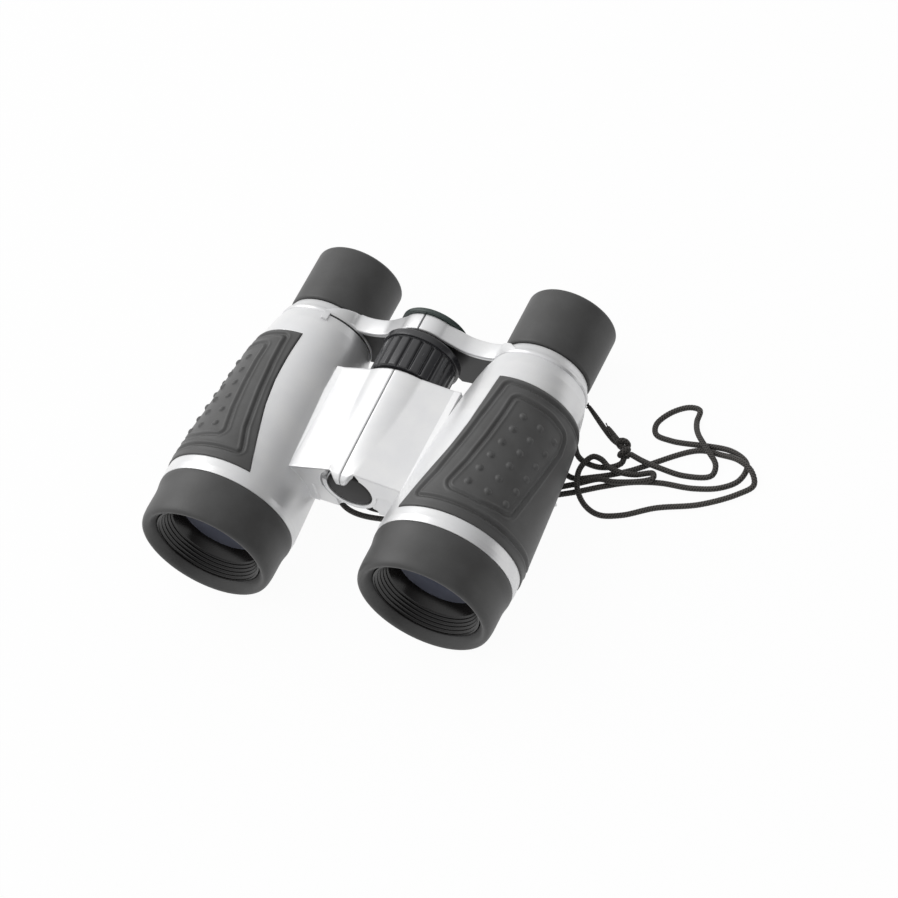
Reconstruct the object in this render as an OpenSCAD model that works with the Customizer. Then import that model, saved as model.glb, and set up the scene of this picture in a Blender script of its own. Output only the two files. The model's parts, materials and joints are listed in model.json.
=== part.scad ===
/* [Layout] */
// Distance between the two barrel axes, fully opened
barrel_spacing = 69.8; // [68:0.2:74]
// Height of the hinge axis above the barrel axes
hinge_h = 5.2; // [4.6:0.1:5.8]

/* [Barrels] */
// Widest radius of the silver band behind the hood
band_r = 20.8; // [20.2:0.1:21.4]
// Radius where the straight belly of the barrel ends
belly_r = 18.3; // [18:0.1:18.8]
// Radius at the front of the rear shoulder
shoulder_r = 16.3; // [15.8:0.1:16.8]
// Radius at the rear rim of the barrel
rim_r = 14.3; // [14:0.1:14.8]
// Distance of the widest band from the hood opening
band_y = 14.5; // [14:0.1:15]
// Distance of the belly's end from the hood opening
belly_y = 53; // [51:0.5:55]
// Distance of the shoulder's front
shoulder_y = 69; // [67.5:0.5:70]
// Distance of the barrel's rear rim
rim_y = 77; // [76.5:0.1:78]
// Thickness of the barrel wall
barrel_wall = 2; // [1.6:0.1:2.4]

/* [Objective end] */
// Radius of the hood's opening
hood_open_r = 16; // [15:0.1:16.5]
// Thickness of the hood's rubber at its mouth
hood_wall = 4.1; // [3.6:0.1:4.5]
// Height of the bead at the hood's rear edge
bead_h = 0.5; // [0.3:0.1:0.8]
// Distance from the hood opening to the hood's rear edge
hood_l = 12.4; // [11.8:0.1:13]
// Radius of the objective lens as seen through the baffle
objective_view_r = 12.2; // [11:0.1:12.6]
// Radius of the objective lens at its edge
objective_r = 14.4; // [14:0.1:15]
// Number of ribs inside the baffle
baffle_ribs = 5; // [3:1:6]

/* [Grips] */
// Height of the rubber above the silver
grip_proud = 0.4; // [0.2:0.1:0.8]
// Depth of the pocket that the rubber lies in
grip_depth = 0.8; // [0.5:0.1:1]
// Distance of the front edge of the rubber
grip_y0 = 17.3; // [16.5:0.1:18.5]
// Distance of the rear edge of the rubber
grip_y1 = 66.3; // [65:0.1:67]
// Radius of one nub
nub_r = 1.1; // [0.8:0.05:1.3]
// Nubs in one row along the barrel
nub_count = 6; // [4:1:7]

/* [Bridge and hinge] */
// Distance of the bridge's front face
web_y0 = 26.1; // [25.5:0.1:27]
// Distance of the bridge's rear face
web_y1 = 62; // [61:0.1:62.4]
// Radius of the hinge knuckles
knuckle_r = 7.3; // [7:0.05:7.4]
// Radius of the flange ring on the bridge's front
flange_r = 8.3; // [8.1:0.05:8.5]
// Radius of the black disc in the flange ring
disc_r = 6.9; // [6.4:0.1:7]
// Radius of the hinge pin
pin_r = 2; // [1.6:0.1:2.4]
// Crest height of the bridge cap above the barrel axes, rear
crest_rear_h = 15.2; // [14.8:0.1:15.8]
// Crest height of the bridge cap above the barrel axes, front
crest_front_h = 13.4; // [13.3:0.1:14]

/* [Focus drive] */
// Radius of the focus wheel
wheel_r = 11; // [10.4:0.1:11.6]
// Length of the focus wheel
wheel_l = 10.4; // [9.6:0.1:10.8]
// Flutes round the focus wheel
wheel_flutes = 20; // [16:1:24]
// Radius of the focus sleeve
sleeve_r = 4; // [3.6:0.1:4.4]
// Radius of the domed rear cap
cap_r = 10.4; // [9.8:0.1:10.8]
// Travel of the eyepieces
focus_travel = 6; // [4:0.5:6]

/* [Eyepieces] */
// Outside radius of the eyecup
eyecup_r = 13.5; // [13.1:0.1:13.8]
// Distance of the eyecup's front edge
eyecup_y0 = 81.5; // [81.3:0.1:82]
// Length of the eyecup
eyecup_l = 20; // [18:0.5:21]
// Radius of the eyecup's opening
eyecup_open_r = 10.9; // [10:0.1:11]
// Radius of the sliding eyepiece tube
tube_r = 12.05; // [11.8:0.05:12.2]
// Radius of the eye lens
eye_lens_r = 9.6; // [9:0.1:9.8]

/* [Arms] */
// Distance of the arms' front face
arm_y0 = 77.3; // [77.2:0.1:77.8]
// Length of the arms along the barrels
arm_l = 5.5; // [5:0.1:5.6]
// Outside radius of the arms at the hub
hub_r = 9.55; // [9.2:0.05:9.9]
// Thickness of the silver arm cover
cover_t = 1.3; // [1:0.1:1.5]

/* [Cord] */
// Diameter of the neck cord
cord_d = 1.7; // [1.4:0.1:1.8]

/* [Hidden] */

// Shared small sizes
overrun = 0.5;
fit_gap = 0.1;
run_gap = 0.3;
pin_gap = 0.05;
half_x = barrel_spacing / 2;

// Resting pose: both bellies lie on the table along their bottom lines
rest_tilt = atan((band_r - belly_r) / (belly_y - band_y));
rest_lift = band_y * sin(rest_tilt) + band_r * cos(rest_tilt);

// Hood lip and eyecup rim, which bound the length
edge_step = 0.1;
hood_r = hood_open_r + hood_wall;
bead_r = hood_r + bead_h;
lip_r = (hood_wall - edge_step) / 2;
lip_mid_r = hood_open_r + lip_r;
lip_y = -0.7;
rim_round = 1.3;
rim_mid_r = eyecup_r - rim_round;
rim_mid_y = eyecup_y0 + eyecup_l - rim_round;
front_reach = lip_y * cos(rest_tilt) - lip_mid_r * sin(rest_tilt) - lip_r;
rear_reach = rim_mid_y * cos(rest_tilt) + rim_mid_r * sin(rest_tilt) + rim_round;
mid_y = (front_reach + rear_reach) / 2;

// Hood and baffle
hood_wall_y = 2.6;
hood_skirt = 1.8;
spigot_r = hood_r - hood_skirt;
spigot_wall = 1.4;
spigot_in_r = spigot_r - spigot_wall;
bead_l = 2.2;
bead_round = 0.4;
neck_l = 0.9;
baffle_y0 = 0.8;
baffle_nose_gap = 0.15;
baffle_first_step = 0.6;
baffle_first_r = hood_open_r - baffle_first_step;
baffle_run = 2;
baffle_last_r = baffle_first_r - baffle_run;
baffle_rib_end = 5.6;
rib_h = 0.25;
objective_y = 9.4;
objective_edge = 1.7;
objective_sag = 0.7;
seat_lip = 1.2;

// Rear shoulder of the barrel
guide_y = 66.5;
guide_r = tube_r + 0.15;
cavity_r = belly_r - barrel_wall - grip_depth;
cavity_y = 63;
cavity_run = 4;
guide_step = 0.8;

// Grip outline, inner edge seen from above, as shares of the grip's length and radius
grip_edge_shares = [[0, -0.54], [0.14, -0.45], [0.28, -0.36], [0.45, -0.255],
    [0.63, -0.185], [0.82, -0.155], [1, -0.145]];
grip_low_shares = [[0, -0.7], [1, -0.66]];
grip_gap = 0.1;
nub_angles = [[60, 75], [43, 58], [25, 41]];
nub_y0 = 28.9;
nub_y1 = 54.8;
nub_stagger = 0.3;
nub_sink_share = 0.45;

// Bridge section in the plane across the barrels
web_top_x = 17.7;
web_top_h = 10.6;
cap_half_w = 8;
web_slope = 0.223;
web_low_h = -2.7;
web_in_h = -4.7;
web_in_x = 6.5;
edge_rise = 1;
lobe_share = 0.6;
web_root_x = 20;
shelf_h = 9.7;
front_wall = 1.2;
recess_x = 12.4;
recess_h = 4;
recess_t = 0.3;
cap_gap = 0.05;
front_cut_r = 9;
knuckle_gap_y = 0.3;
knuckle_split_shares = [0.33, 0.66];
flange_l = 1.2;
flange_start = 50;
flange_end = 161;
tongue_l = 2.7;
tongue_tip_w = 1.2;
tongue_flare = 1.4;
tongue_drop = 1.7;
tongue_t = 0.8;
seam_half = 0.15;
cap_y0 = web_y0 + front_wall + fit_gap;
cap_floor = 3;
crease_rear = 8;
crease_front = 3.9;
tongue_w = crease_front - seam_half;
cap_steps = 12;
cap_cols = 8;

// Underplate and its screws
plate_t = 1.4;
plate_lap = 1;
plate_x0 = knuckle_r + 2 * run_gap;
plate_x1 = half_x - band_r + plate_lap;
plate_margin = 3;
pocket_share = 0.167;
pocket_in = (plate_x1 - plate_x0) * pocket_share;
pocket_h = 8;
head_share = 0.236;
screw_head_r = (plate_x1 - plate_x0) * head_share;
screw_head_h = 0.8;
shank_share = 0.118;
screw_shank_r = (plate_x1 - plate_x0) * shank_share;
screw_l = 6;
screw_inset = 3.5;
boss_share = 0.306;
boss_r = (plate_x1 - plate_x0) * boss_share;

// Cord lug on the flank of each barrel
lug_size = [6, 7, 4];
lug_turn = 31.5;
lug_y = belly_y - 1.1;
lug_angle = -62.3;
lug_gap = 0.15;
lug_bore_r = cord_d / 2 + lug_gap;
lug_bore_step = 1.2;
lug_bore_l = 4.2;

// Hub, sleeve and cap
sleeve_y1 = 84.6;
sleeve_wall = 1.8;
thread_hold = 2.2;
leaf_r = 8.1;
leaf_gap = 0.2;
collar_r = 9;
collar_l = 1.6;
disc_y0 = 26.2;
disc_l = 1;
cap_l = 3.4;
cap_round = 1.8;
cap_edge = 0.3;
wheel_y0 = web_y1 + 2 * run_gap;
sleeve_y0 = wheel_y0 + wheel_l - focus_travel - thread_hold;
pin_y1 = wheel_y0 + wheel_l + pin_r;
flute_r = 1.5;
flute_depth = 0.35;
wheel_edge = 0.6;
arm_y1 = arm_y0 + arm_l;
arm_mid = (arm_y0 + arm_y1) / 2;
arm_inset = 0.6;
arm_low_h = -8;
arm_in_angle = 30;
arm_top_shares = [[0.32, 0.43], [0.39, 0.3], [0.475, 0.23], [0.575, 0.22], [0.66, 0.29], [0.745, 0.49]];
arm_root_x = 26;
arm_seam_x = 0.3;
tube_hold = 7;
eyepiece_y0 = rim_y - focus_travel - tube_hold;
ring_front_r = 14.15;
ring_rear_r = 13;
ring_l = 3.9;
ring_step = 0.15;
ring_flat = 1.2;
cup_round = 1.5;
eye_spigot_r = 11.8;
eye_spigot_y1 = 93;
tube_wall = 1.85;
eye_bore_r = tube_r - tube_wall;
eye_seat_y = 88.8;
eye_lens_t = 2.6;
eye_lens_sag = 1.2;
eye_lip_r = 8.6;
lens_ring_l = 1.2;
lens_ring_wall = 1.2;

// Cord routes in the resting frame, from the table up
cord_r = cord_d / 2;
cord_sides = 8;
route_right_end = [[43.5, 0.3, 2.2], [46.7, 2.2, 2.1], [51.6, 5.4, 0.85], [58.6, 9, 0.85],
    [66, 12.2, 0.85], [74, 14, 0.85], [84, 14.6, 0.85], [91.4, 16.6, 0.85], [95.8, 20.2, 0.85],
    [96.2, 25.4, 0.85], [90.4, 28.7, 0.85], [72, 27.9, 0.85], [66.8, 29, 0.85],
    [65.7, 32.2, 0.85], [68.4, 36.8, 0.85], [73, 39.7, 0.85], [76.2, 39.4, 0.85],
    [76.8, 35.6, 0.9], [79.4, 31, 2.6], [83.8, 26.8, 2.6], [87.8, 22.9, 1.6], [87.6, 19.8, 0.85],
    [80, 17.9, 0.85], [72.6, 17.8, 2.5], [67.4, 18.7, 2.6], [62.9, 20.2, 2.2]];
route_loop = [[42.3, 2.3, 2.2], [45.5, 4.3, 2.1], [51.2, 8.2, 0.85], [57.2, 10.5, 1.9],
    [61.6, 10.2, 2.6], [70.2, 12.6, 2.6], [72.3, 14.2, 2.4], [71.4, 16, 1.8], [66.4, 14.6, 1.4],
    [63.2, 13.6, 2.6], [58.6, 14.5, 2.6], [55.4, 16.4, 2.6], [52.6, 16.6, 2.6], [50.6, 12, 2.6],
    [52.4, 5.8, 2.6], [55.8, 2, 1.1], [61, 0, 0.85], [67.4, 1.4, 0.85], [76, 6, 0.85],
    [88, 10.2, 0.85], [97.2, 16, 0.85], [100.4, 19.8, 0.85], [98.8, 23, 2.3], [94.2, 25.4, 2.6],
    [88, 26.9, 0.85], [80.6, 26.6, 0.85], [63.6, 15.4, 0.85], [55.6, 11.6, 0.85],
    [48.4, 9.6, 0.85], [43.2, 13, 0.85], [39.6, 24.6, 0.85], [31.8, 27.8, 0.85],
    [9, -13.2, 0.85], [0, -16.8, 0.85], [-15, -14.6, 0.85], [-33, 28, 0.85], [-42.6, 21, 0.85],
    [-46.6, 8, 0.85], [-45.5, 4.3, 2.1], [-42.3, 2.3, 2.2]];
route_left_end = [[-43.5, 0.3, 2.2], [-46.7, 2.2, 2.1], [-49.2, 7.6, 0.85], [-47.2, 20, 0.85],
    [-39, 31.4, 0.85], [-29, 29.8, 0.85], [-19, 4, 0.85], [-10, -12.6, 0.85], [0, -13.8, 0.85],
    [8, -7, 0.85], [22, 26, 0.85], [30, 31.6, 0.85], [39, 30.2, 0.85], [44, 22, 0.85],
    [48, 16.4, 0.85], [54, 14.7, 0.85], [58.6, 15.7, 0.85], [61, 17.4, 1.2], [61.4, 18.9, 1.9]];
route_tails = [[[58.7, 22.8, 1.5], [55.6, 24.2, 0.85], [43.9, 33.2, 0.85]],
    [[58.9, 22.6, 3.3], [56.6, 24.2, 2.6], [50.9, 28.6, 2.6]]];
knot_at = [60.3, 21.4, 2.1];
knot_turn = -45;
knot_r = 2;
knot_step = 1.7;
knot_rings = 24;

module resting() {
    translate([0, -mid_y, rest_lift]) rotate([-rest_tilt, 0, 0]) children();
}

module on_side(s) {
    if (s < 0) mirror([1, 0, 0]) children();
    else children();
}

// A solid of revolution about an axis along the barrels
module turned(x, z, outline, fn = 96) {
    translate([x, 0, z]) rotate([-90, 0, 0]) rotate_extrude($fn = fn) polygon(outline);
}

// A cylinder along the barrels
module rod(x, z, y0, y1, r, fn = 96) {
    translate([x, y0, z]) rotate([-90, 0, 0]) cylinder(h = y1 - y0, r = r, $fn = fn);
}

// A section across the barrels, drawn in x and height, run from y0 to y1
module across(y0, y1) {
    translate([0, y1, 0]) rotate([90, 0, 0]) linear_extrude(y1 - y0) children();
}

function mix(a, b, t) = a + (b - a) * t;
function arc(cx, cy, r, a0, a1, n) = [for (i = [0:n]) let (a = a0 + (a1 - a0) * i / n)
    [cx + r * cos(a), cy + r * sin(a)]];

// Silver outside of a barrel, radius against distance
function belly_at(y) = band_r - (band_r - belly_r) * (y - band_y) / (belly_y - band_y);
barrel_line = [[band_r - 3 * edge_step, hood_l + fit_gap], [band_r - edge_step, hood_l + neck_l],
    [band_r, band_y], [belly_r, belly_y],
    [mix(belly_r, shoulder_r, 0.42), mix(belly_y, shoulder_y, 0.5)], [shoulder_r, shoulder_y],
    [mix(shoulder_r, rim_r, 0.42), mix(shoulder_y, rim_y, 0.52)],
    [mix(shoulder_r, rim_r, 0.77), mix(shoulder_y, rim_y, 0.8)], [rim_r, rim_y]];

module barrel_outside(grow = 0) {
    turned(half_x, 0, concat([[0, hood_l + fit_gap]],
        [for (p = barrel_line) [p[0] + grow, p[1]]], [[0, rim_y]]));
}

module barrel_cavity() {
    turned(half_x, 0, [[0, hood_wall_y - overrun], [spigot_in_r, hood_wall_y - overrun],
        [spigot_in_r, objective_y - fit_gap], [objective_r + fit_gap, objective_y - fit_gap],
        [objective_r + fit_gap, objective_y + objective_edge],
        [objective_r - seat_lip, objective_y + objective_edge],
        [objective_r - seat_lip, objective_y + objective_edge + seat_lip],
        [cavity_r, band_y + cavity_run], [cavity_r, belly_y - cavity_run],
        [guide_r + guide_step, cavity_y], [guide_r, guide_y], [guide_r, rim_y + overrun],
        [0, rim_y + overrun]]);
}

// Space of the rubber grip, grown at its floor and edges by a gap
module grip_space(gap, top) {
    grip_l = grip_y1 - grip_y0;
    edge = [for (p = grip_edge_shares)
        [half_x + p[1] * band_r - gap, grip_y0 - gap + p[0] * (grip_l + 2 * gap)]];
    low = [for (p = grip_low_shares)
        [p[1] * band_r - gap, grip_y0 - gap + p[0] * (grip_l + 2 * gap)]];
    far = half_x + 2 * band_r;
    intersection() {
        difference() {
            barrel_outside(top);
            barrel_outside(-grip_depth - gap);
        }
        translate([0, 0, -band_r]) linear_extrude(3 * band_r)
            polygon(concat(edge, [[far, grip_y1 + gap], [far, grip_y0 - gap]]));
        rotate([90, 0, 90]) linear_extrude(far)
            polygon([[low[0][1], low[0][0]], [low[1][1], low[1][0]],
                [grip_y1 + gap, 2 * band_r], [grip_y0 - gap, 2 * band_r]]);
    }
}

// The three hinge knuckles share the bridge's length
function knuckle_y(i) = web_y0 + (web_y1 - web_y0) * knuckle_split_shares[i];

module hinge_rod(y0, y1, r) {
    rod(0, hinge_h, y0, y1, r);
}

// Web between a barrel and the hinge, right-hand side
module web_section(inner_x) {
    polygon([[web_root_x, web_low_h], [web_in_x, web_in_h],
        [inner_x, web_in_h + edge_rise], [inner_x, hinge_h], [inner_x, shelf_h],
        [cap_half_w + cap_gap, shelf_h],
        [cap_half_w + cap_gap, web_top_h + (web_top_x - cap_half_w - cap_gap) * web_slope],
        [web_top_x, web_top_h], [web_root_x, web_top_h]]);
}

module web_front_section() {
    polygon([[web_root_x, web_low_h], [web_in_x, web_in_h], [web_in_x, hinge_h],
        [crease_front, web_top_h + (web_top_x - crease_front) * web_slope],
        [web_top_x, web_top_h], [web_root_x, web_top_h]]);
}

module web_block(s) {
    difference() {
        union() {
            across(web_y0 + front_wall, web_y1) web_section(lobe_share * knuckle_r);
            across(web_y0, web_y0 + front_wall + fit_gap) web_front_section();
        }
        // shallow recess in the lower part of the front face
        across(web_y0 - overrun, web_y0 + recess_t)
            polygon([[0, web_in_h - overrun], [recess_x, web_in_h - overrun],
                [recess_x, recess_h], [0, recess_h]]);
        // room for the knuckles of the other half, and for the disc
        if (s > 0) {
            hinge_rod(web_y0 - overrun, web_y0 + flange_l - fit_gap / 2, disc_r + 2 * fit_gap);
            hinge_rod(knuckle_y(0), knuckle_y(1), knuckle_r + run_gap);
        } else {
            hinge_rod(web_y0 - overrun, knuckle_y(0), knuckle_r + run_gap);
            hinge_rod(web_y0 - overrun, web_y0 + front_wall + run_gap, front_cut_r);
            hinge_rod(knuckle_y(1), web_y1 + overrun, knuckle_r + run_gap);
        }
        // room for the underplate and the screws' bosses
        under_frame() {
            translate([plate_x0 - fit_gap, web_y0 + plate_margin - fit_gap, -overrun])
                cube([plate_x1 - plate_x0 + 2 * fit_gap, web_y1 - web_y0 - 2 * plate_margin + 2 * fit_gap,
                    overrun + plate_t + fit_gap]);
            difference() {
                translate([plate_x0 + pocket_in, web_y0 + plate_margin + pocket_in, 0])
                    cube([plate_x1 - plate_x0 - 2 * pocket_in,
                        web_y1 - web_y0 - 2 * (plate_margin + pocket_in), pocket_h]);
                screw_places() translate([0, 0, plate_t + fit_gap])
                    cylinder(h = pocket_h, r = boss_r, $fn = 48);
            }
            screw_places() cylinder(h = screw_l + overrun, r = screw_shank_r, $fn = 32);
        }
    }
}

module knuckles(s) {
    if (s > 0) {
        hinge_rod(web_y0 + flange_l - fit_gap, knuckle_y(0) - knuckle_gap_y, knuckle_r);
        hinge_rod(knuckle_y(1) + knuckle_gap_y, web_y1, knuckle_r);
        // flange ring round the disc, open where the tongue swings
        translate([0, web_y0, hinge_h]) rotate([90, 0, 0]) mirror([0, 0, 1])
            rotate([0, 0, flange_end]) rotate_extrude(angle = 360 - flange_end + flange_start, $fn = 96)
                polygon([[disc_r + fit_gap, 0], [flange_r, 0], [flange_r, flange_l],
                    [disc_r + fit_gap, flange_l]]);
    } else {
        hinge_rod(knuckle_y(0) + knuckle_gap_y, knuckle_y(1) - knuckle_gap_y, knuckle_r);
    }
}

// Frame of the sloping underside of the bridge
module under_frame() {
    slope = atan((web_low_h - web_in_h) / (web_root_x - web_in_x));
    translate([web_in_x, 0, web_in_h]) rotate([0, -slope, 0]) translate([-web_in_x, 0, 0]) children();
}

module screw_places() {
    for (y = [web_y0 + plate_margin + pocket_in + screw_inset,
        web_y1 - plate_margin - pocket_in - screw_inset])
        translate([(plate_x0 + plate_x1) / 2, y, 0]) children();
}

module at_lug() {
    r = belly_at(lug_y);
    translate([half_x + r * cos(lug_angle), lug_y, r * sin(lug_angle)]) rotate([0, 0, lug_turn])
        children();
}

module cord_lug() {
    difference() {
        at_lug() cube(lug_size, center = true);
        rod(half_x, 0, band_y, guide_y, belly_r - barrel_wall / 2);
    }
}

module lug_bores() {
    at_lug() for (y = [-lug_bore_step, lug_bore_step])
        translate([lug_size[0] / 2 + overrun, y, 0]) rotate([0, -90, 0])
            cylinder(h = lug_bore_l + overrun, r = lug_bore_r, $fn = 32);
}

module barrel(s) {
    color([0.85, 0.86, 0.88]) resting() on_side(s) difference() {
        union() {
            barrel_outside();
            rod(half_x, 0, hood_wall_y + fit_gap, hood_l + 1, spigot_r);
            web_block(s);
            knuckles(s);
            cord_lug();
        }
        barrel_cavity();
        grip_space(grip_gap, 2 * grip_proud);
        lug_bores();
        hinge_rod(web_y0 - overrun, web_y1 + overrun, s > 0 ? pin_r : pin_r + pin_gap);
    }
}

// Bridge cap: crown height over a station y and a share u across, from seam to edge
function crest_at(y) = y < web_y0 ? crest_front_h - tongue_drop * pow((web_y0 - y) / tongue_l, 1.4)
    : mix(crest_front_h, crest_rear_h, pow((y - web_y0) / (web_y1 - web_y0), 0.8));
function crease_at(y) = y < web_y0 ? crease_front
    : mix(crease_front, crease_rear, sin(90 * (y - web_y0) / (web_y1 - web_y0)));
function plane_at(x) = web_top_h + (web_top_x - x) * web_slope;
function crown_at(x, y) = let (c = crease_at(y), t = min(1, x / c))
    x >= c ? plane_at(x) : mix(crest_at(y), plane_at(c), y < cap_y0 ? pow(t, 3) : t * t);
function tongue_w_at(y) = mix(tongue_tip_w, tongue_w,
    pow(max(0, (y - web_y0 + tongue_l) / tongue_l), tongue_flare));
function cap_stations() = concat(
    [for (i = [0:3]) web_y0 - tongue_l * (1 - i / 4)], [cap_y0 - seam_half / 10],
    [for (i = [0:cap_steps]) mix(cap_y0, web_y1, i / cap_steps)]);
function cap_width(y) = y < web_y0 ? tongue_w_at(y)
    : y < cap_y0 ? tongue_w : cap_half_w;
function cap_under(x, y) = y < cap_y0 ? crown_at(x, y) - tongue_t
    : max(hinge_h + sqrt(max(0, pow(knuckle_r + run_gap, 2) - x * x)), crown_at(x, y) - cap_floor);

module bridge_cap(s) {
    ys = cap_stations();
    n = len(ys);
    m = cap_cols;
    k = 2 * (m + 1);
    points = [for (y = ys) let (w = cap_width(y)) for (j = [0:k - 1])
        let (u = j <= m ? j / m : (k - 1 - j) / m, x = mix(seam_half, w, u))
        [x, y, j <= m ? crown_at(x, y) : cap_under(x, y)]];
    sides = [for (i = [0:n - 2]) for (j = [0:k - 1]) let (a = i * k + j, b = i * k + (j + 1) % k)
        each [[a, b, b + k], [a, b + k, a + k]]];
    ends = concat([for (j = [0:m - 1]) each [[j, k - 1 - j, k - 2 - j], [j, k - 2 - j, j + 1]]],
        [for (j = [0:m - 1]) let (o = (n - 1) * k)
            each [[o + j, o + k - 2 - j, o + k - 1 - j], [o + j, o + j + 1, o + k - 2 - j]]]);
    color([0.9, 0.9, 0.92]) resting() on_side(s) polyhedron(points, concat(sides, ends));
}

module underplate(s) {
    color([0.8, 0.81, 0.83]) resting() on_side(s) under_frame() difference() {
        translate([plate_x0, web_y0 + plate_margin, 0])
            cube([plate_x1 - plate_x0, web_y1 - web_y0 - 2 * plate_margin, plate_t]);
        screw_places() {
            translate([0, 0, -overrun])
                cylinder(h = plate_t + 2 * overrun, r = screw_shank_r + fit_gap, $fn = 32);
            translate([0, 0, -overrun])
                cylinder(h = overrun + screw_head_h, r = screw_head_r + fit_gap, $fn = 32);
        }
    }
}

module screws(s) {
    color([0.6, 0.6, 0.62]) resting() on_side(s) under_frame() screw_places() difference() {
        union() {
            cylinder(h = screw_head_h, r = screw_head_r, $fn = 32);
            cylinder(h = screw_l, r = screw_shank_r, $fn = 32);
        }
        translate([-screw_head_r, -screw_shank_r / 4, -overrun])
            cube([2 * screw_head_r, screw_shank_r / 2, overrun + screw_head_h / 2]);
    }
}

module hood(s) {
    color([0.2, 0.2, 0.21]) resting() on_side(s) turned(half_x, 0, concat(
        arc(lip_mid_r, lip_y, lip_r, 180, 360, 16),
        [[hood_r, lip_y + 2 * neck_l], [hood_r, hood_l - bead_l - 2 * neck_l],
            [hood_r + edge_step, hood_l - bead_l - neck_l]],
        arc(bead_r - bead_round, hood_l - bead_l + bead_round, bead_round, -90, 0, 4),
        arc(bead_r - bead_round, hood_l - bead_round, bead_round, 0, 90, 4),
        [[spigot_r + fit_gap, hood_l], [spigot_r + fit_gap, hood_wall_y], [hood_open_r, hood_wall_y]]));
}

module baffle(s) {
    pitch = (baffle_rib_end - baffle_y0) / baffle_ribs;
    step = (baffle_first_r - baffle_last_r) / baffle_ribs;
    color([0.1, 0.1, 0.11]) resting() on_side(s) turned(half_x, 0, concat(
        [[hood_open_r - baffle_nose_gap, baffle_y0],
            [hood_open_r - baffle_nose_gap, hood_wall_y + 2 * fit_gap],
            [spigot_in_r - fit_gap, hood_wall_y + 2 * fit_gap],
            [spigot_in_r - fit_gap, objective_y - 2 * fit_gap],
            [objective_view_r, objective_y - 2 * fit_gap], [baffle_last_r, baffle_rib_end]],
        [for (i = [baffle_ribs - 1:-1:0])
            each [[baffle_first_r - i * step + rib_h, baffle_y0 + (i + 0.55) * pitch],
                [baffle_first_r - i * step, baffle_y0 + (i + 0.25) * pitch],
                [baffle_first_r - i * step, baffle_y0 + i * pitch]]]));
}

// Biconvex lens outline from the axis out to its edge
function lens_outline(r, y, edge, sag) = concat(
    [for (i = [0:8]) let (q = i / 8) [r * q, y - sag * (1 - q * q)]],
    [for (i = [8:-1:0]) let (q = i / 8) [r * q, y + edge + sag * (1 - q * q)]]);

module objective(s) {
    color([0.35, 0.4, 0.55]) resting() on_side(s)
        turned(half_x, 0, lens_outline(objective_r, objective_y, objective_edge - fit_gap, objective_sag));
}

module grip(s) {
    color([0.25, 0.25, 0.26]) resting() on_side(s) union() {
        grip_space(0, grip_proud);
        difference() {
            nubs();
            barrel_outside(-grip_depth);
        }
    }
}

module nubs() {
    for (row = [0:2]) for (i = [0:nub_count - 1]) {
        t = i / (nub_count - 1);
        y = mix(nub_y0, nub_y1, t) - row * nub_stagger;
        a = mix(nub_angles[row][1], nub_angles[row][0], t);
        r = belly_at(min(y, belly_y)) + grip_proud - nub_r * nub_sink_share;
        translate([half_x + r * cos(a), y, r * sin(a)]) sphere(r = nub_r, $fn = 24);
    }
}

module eyepiece(s) {
    ring_y0 = rim_y + run_gap;
    color([0.85, 0.86, 0.88]) resting() on_side(s) turned(half_x, 0, [
        [eye_bore_r, eyepiece_y0], [tube_r, eyepiece_y0], [tube_r, ring_y0], [ring_front_r, ring_y0],
        [ring_front_r - ring_step, ring_y0 + ring_flat], [ring_rear_r, ring_y0 + ring_l],
        [eye_spigot_r, ring_y0 + ring_l], [eye_spigot_r, eye_spigot_y1],
        [eye_lens_r + fit_gap, eye_spigot_y1], [eye_lens_r + fit_gap, eye_seat_y],
        [eye_lip_r, eye_seat_y], [eye_lip_r, eye_seat_y - seat_lip],
        [eye_bore_r, eye_seat_y - 2 * seat_lip]]);
}

module eyecup(s) {
    color([0.2, 0.2, 0.21]) resting() on_side(s) turned(half_x, 0, concat(
        [[eye_spigot_r + fit_gap, eyecup_y0]],
        arc(eyecup_r - cup_round, eyecup_y0 + cup_round, cup_round, -90, 0, 4),
        arc(rim_mid_r, rim_mid_y, rim_round, 0, 180, 12),
        [[eyecup_open_r, eye_spigot_y1 + 2 * fit_gap],
            [eye_spigot_r + fit_gap, eye_spigot_y1 + 2 * fit_gap]]));
}

// Flat towards the tube and hollowed towards the eye
module eye_lens(s) {
    y0 = eye_seat_y + fit_gap;
    color([0.45, 0.5, 0.6]) resting() on_side(s) turned(half_x, 0, concat(
        [[0, y0], [eye_lens_r, y0]],
        [for (i = [8:-1:0]) let (q = i / 8) [eye_lens_r * q, y0 + eye_lens_t - eye_lens_sag * (1 - q * q)]]));
}

module lens_ring(s) {
    y0 = eye_seat_y + eye_lens_t + 2 * fit_gap;
    color([0.12, 0.12, 0.13]) resting() on_side(s) turned(half_x, 0, [
        [eye_lens_r - lens_ring_wall, y0], [eye_lens_r, y0], [eye_lens_r, y0 + lens_ring_l],
        [eye_lens_r - lens_ring_wall / 2, y0 + lens_ring_l]]);
}

// Top line of an arm from the hub's seam to the eyepiece ring, lowered by t
function arm_top(t) = concat(
    [for (a = [88:-6:46]) [(hub_r - t) * cos(a), hinge_h + (hub_r - t) * sin(a)]],
    [for (p = arm_top_shares) [p[0] * half_x, hinge_h + p[1] * hub_r - t]]);

module eyepiece_room() {
    turned(half_x, 0, [[0, arm_y0 - overrun], [ring_front_r + fit_gap, arm_y0 - overrun],
        [ring_front_r + fit_gap, arm_y0 + 2 * ring_flat], [eyecup_r + 2 * fit_gap, arm_y0 + ring_l],
        [eyecup_r + 2 * fit_gap, arm_y1 + overrun], [0, arm_y1 + overrun]]);
}

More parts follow.
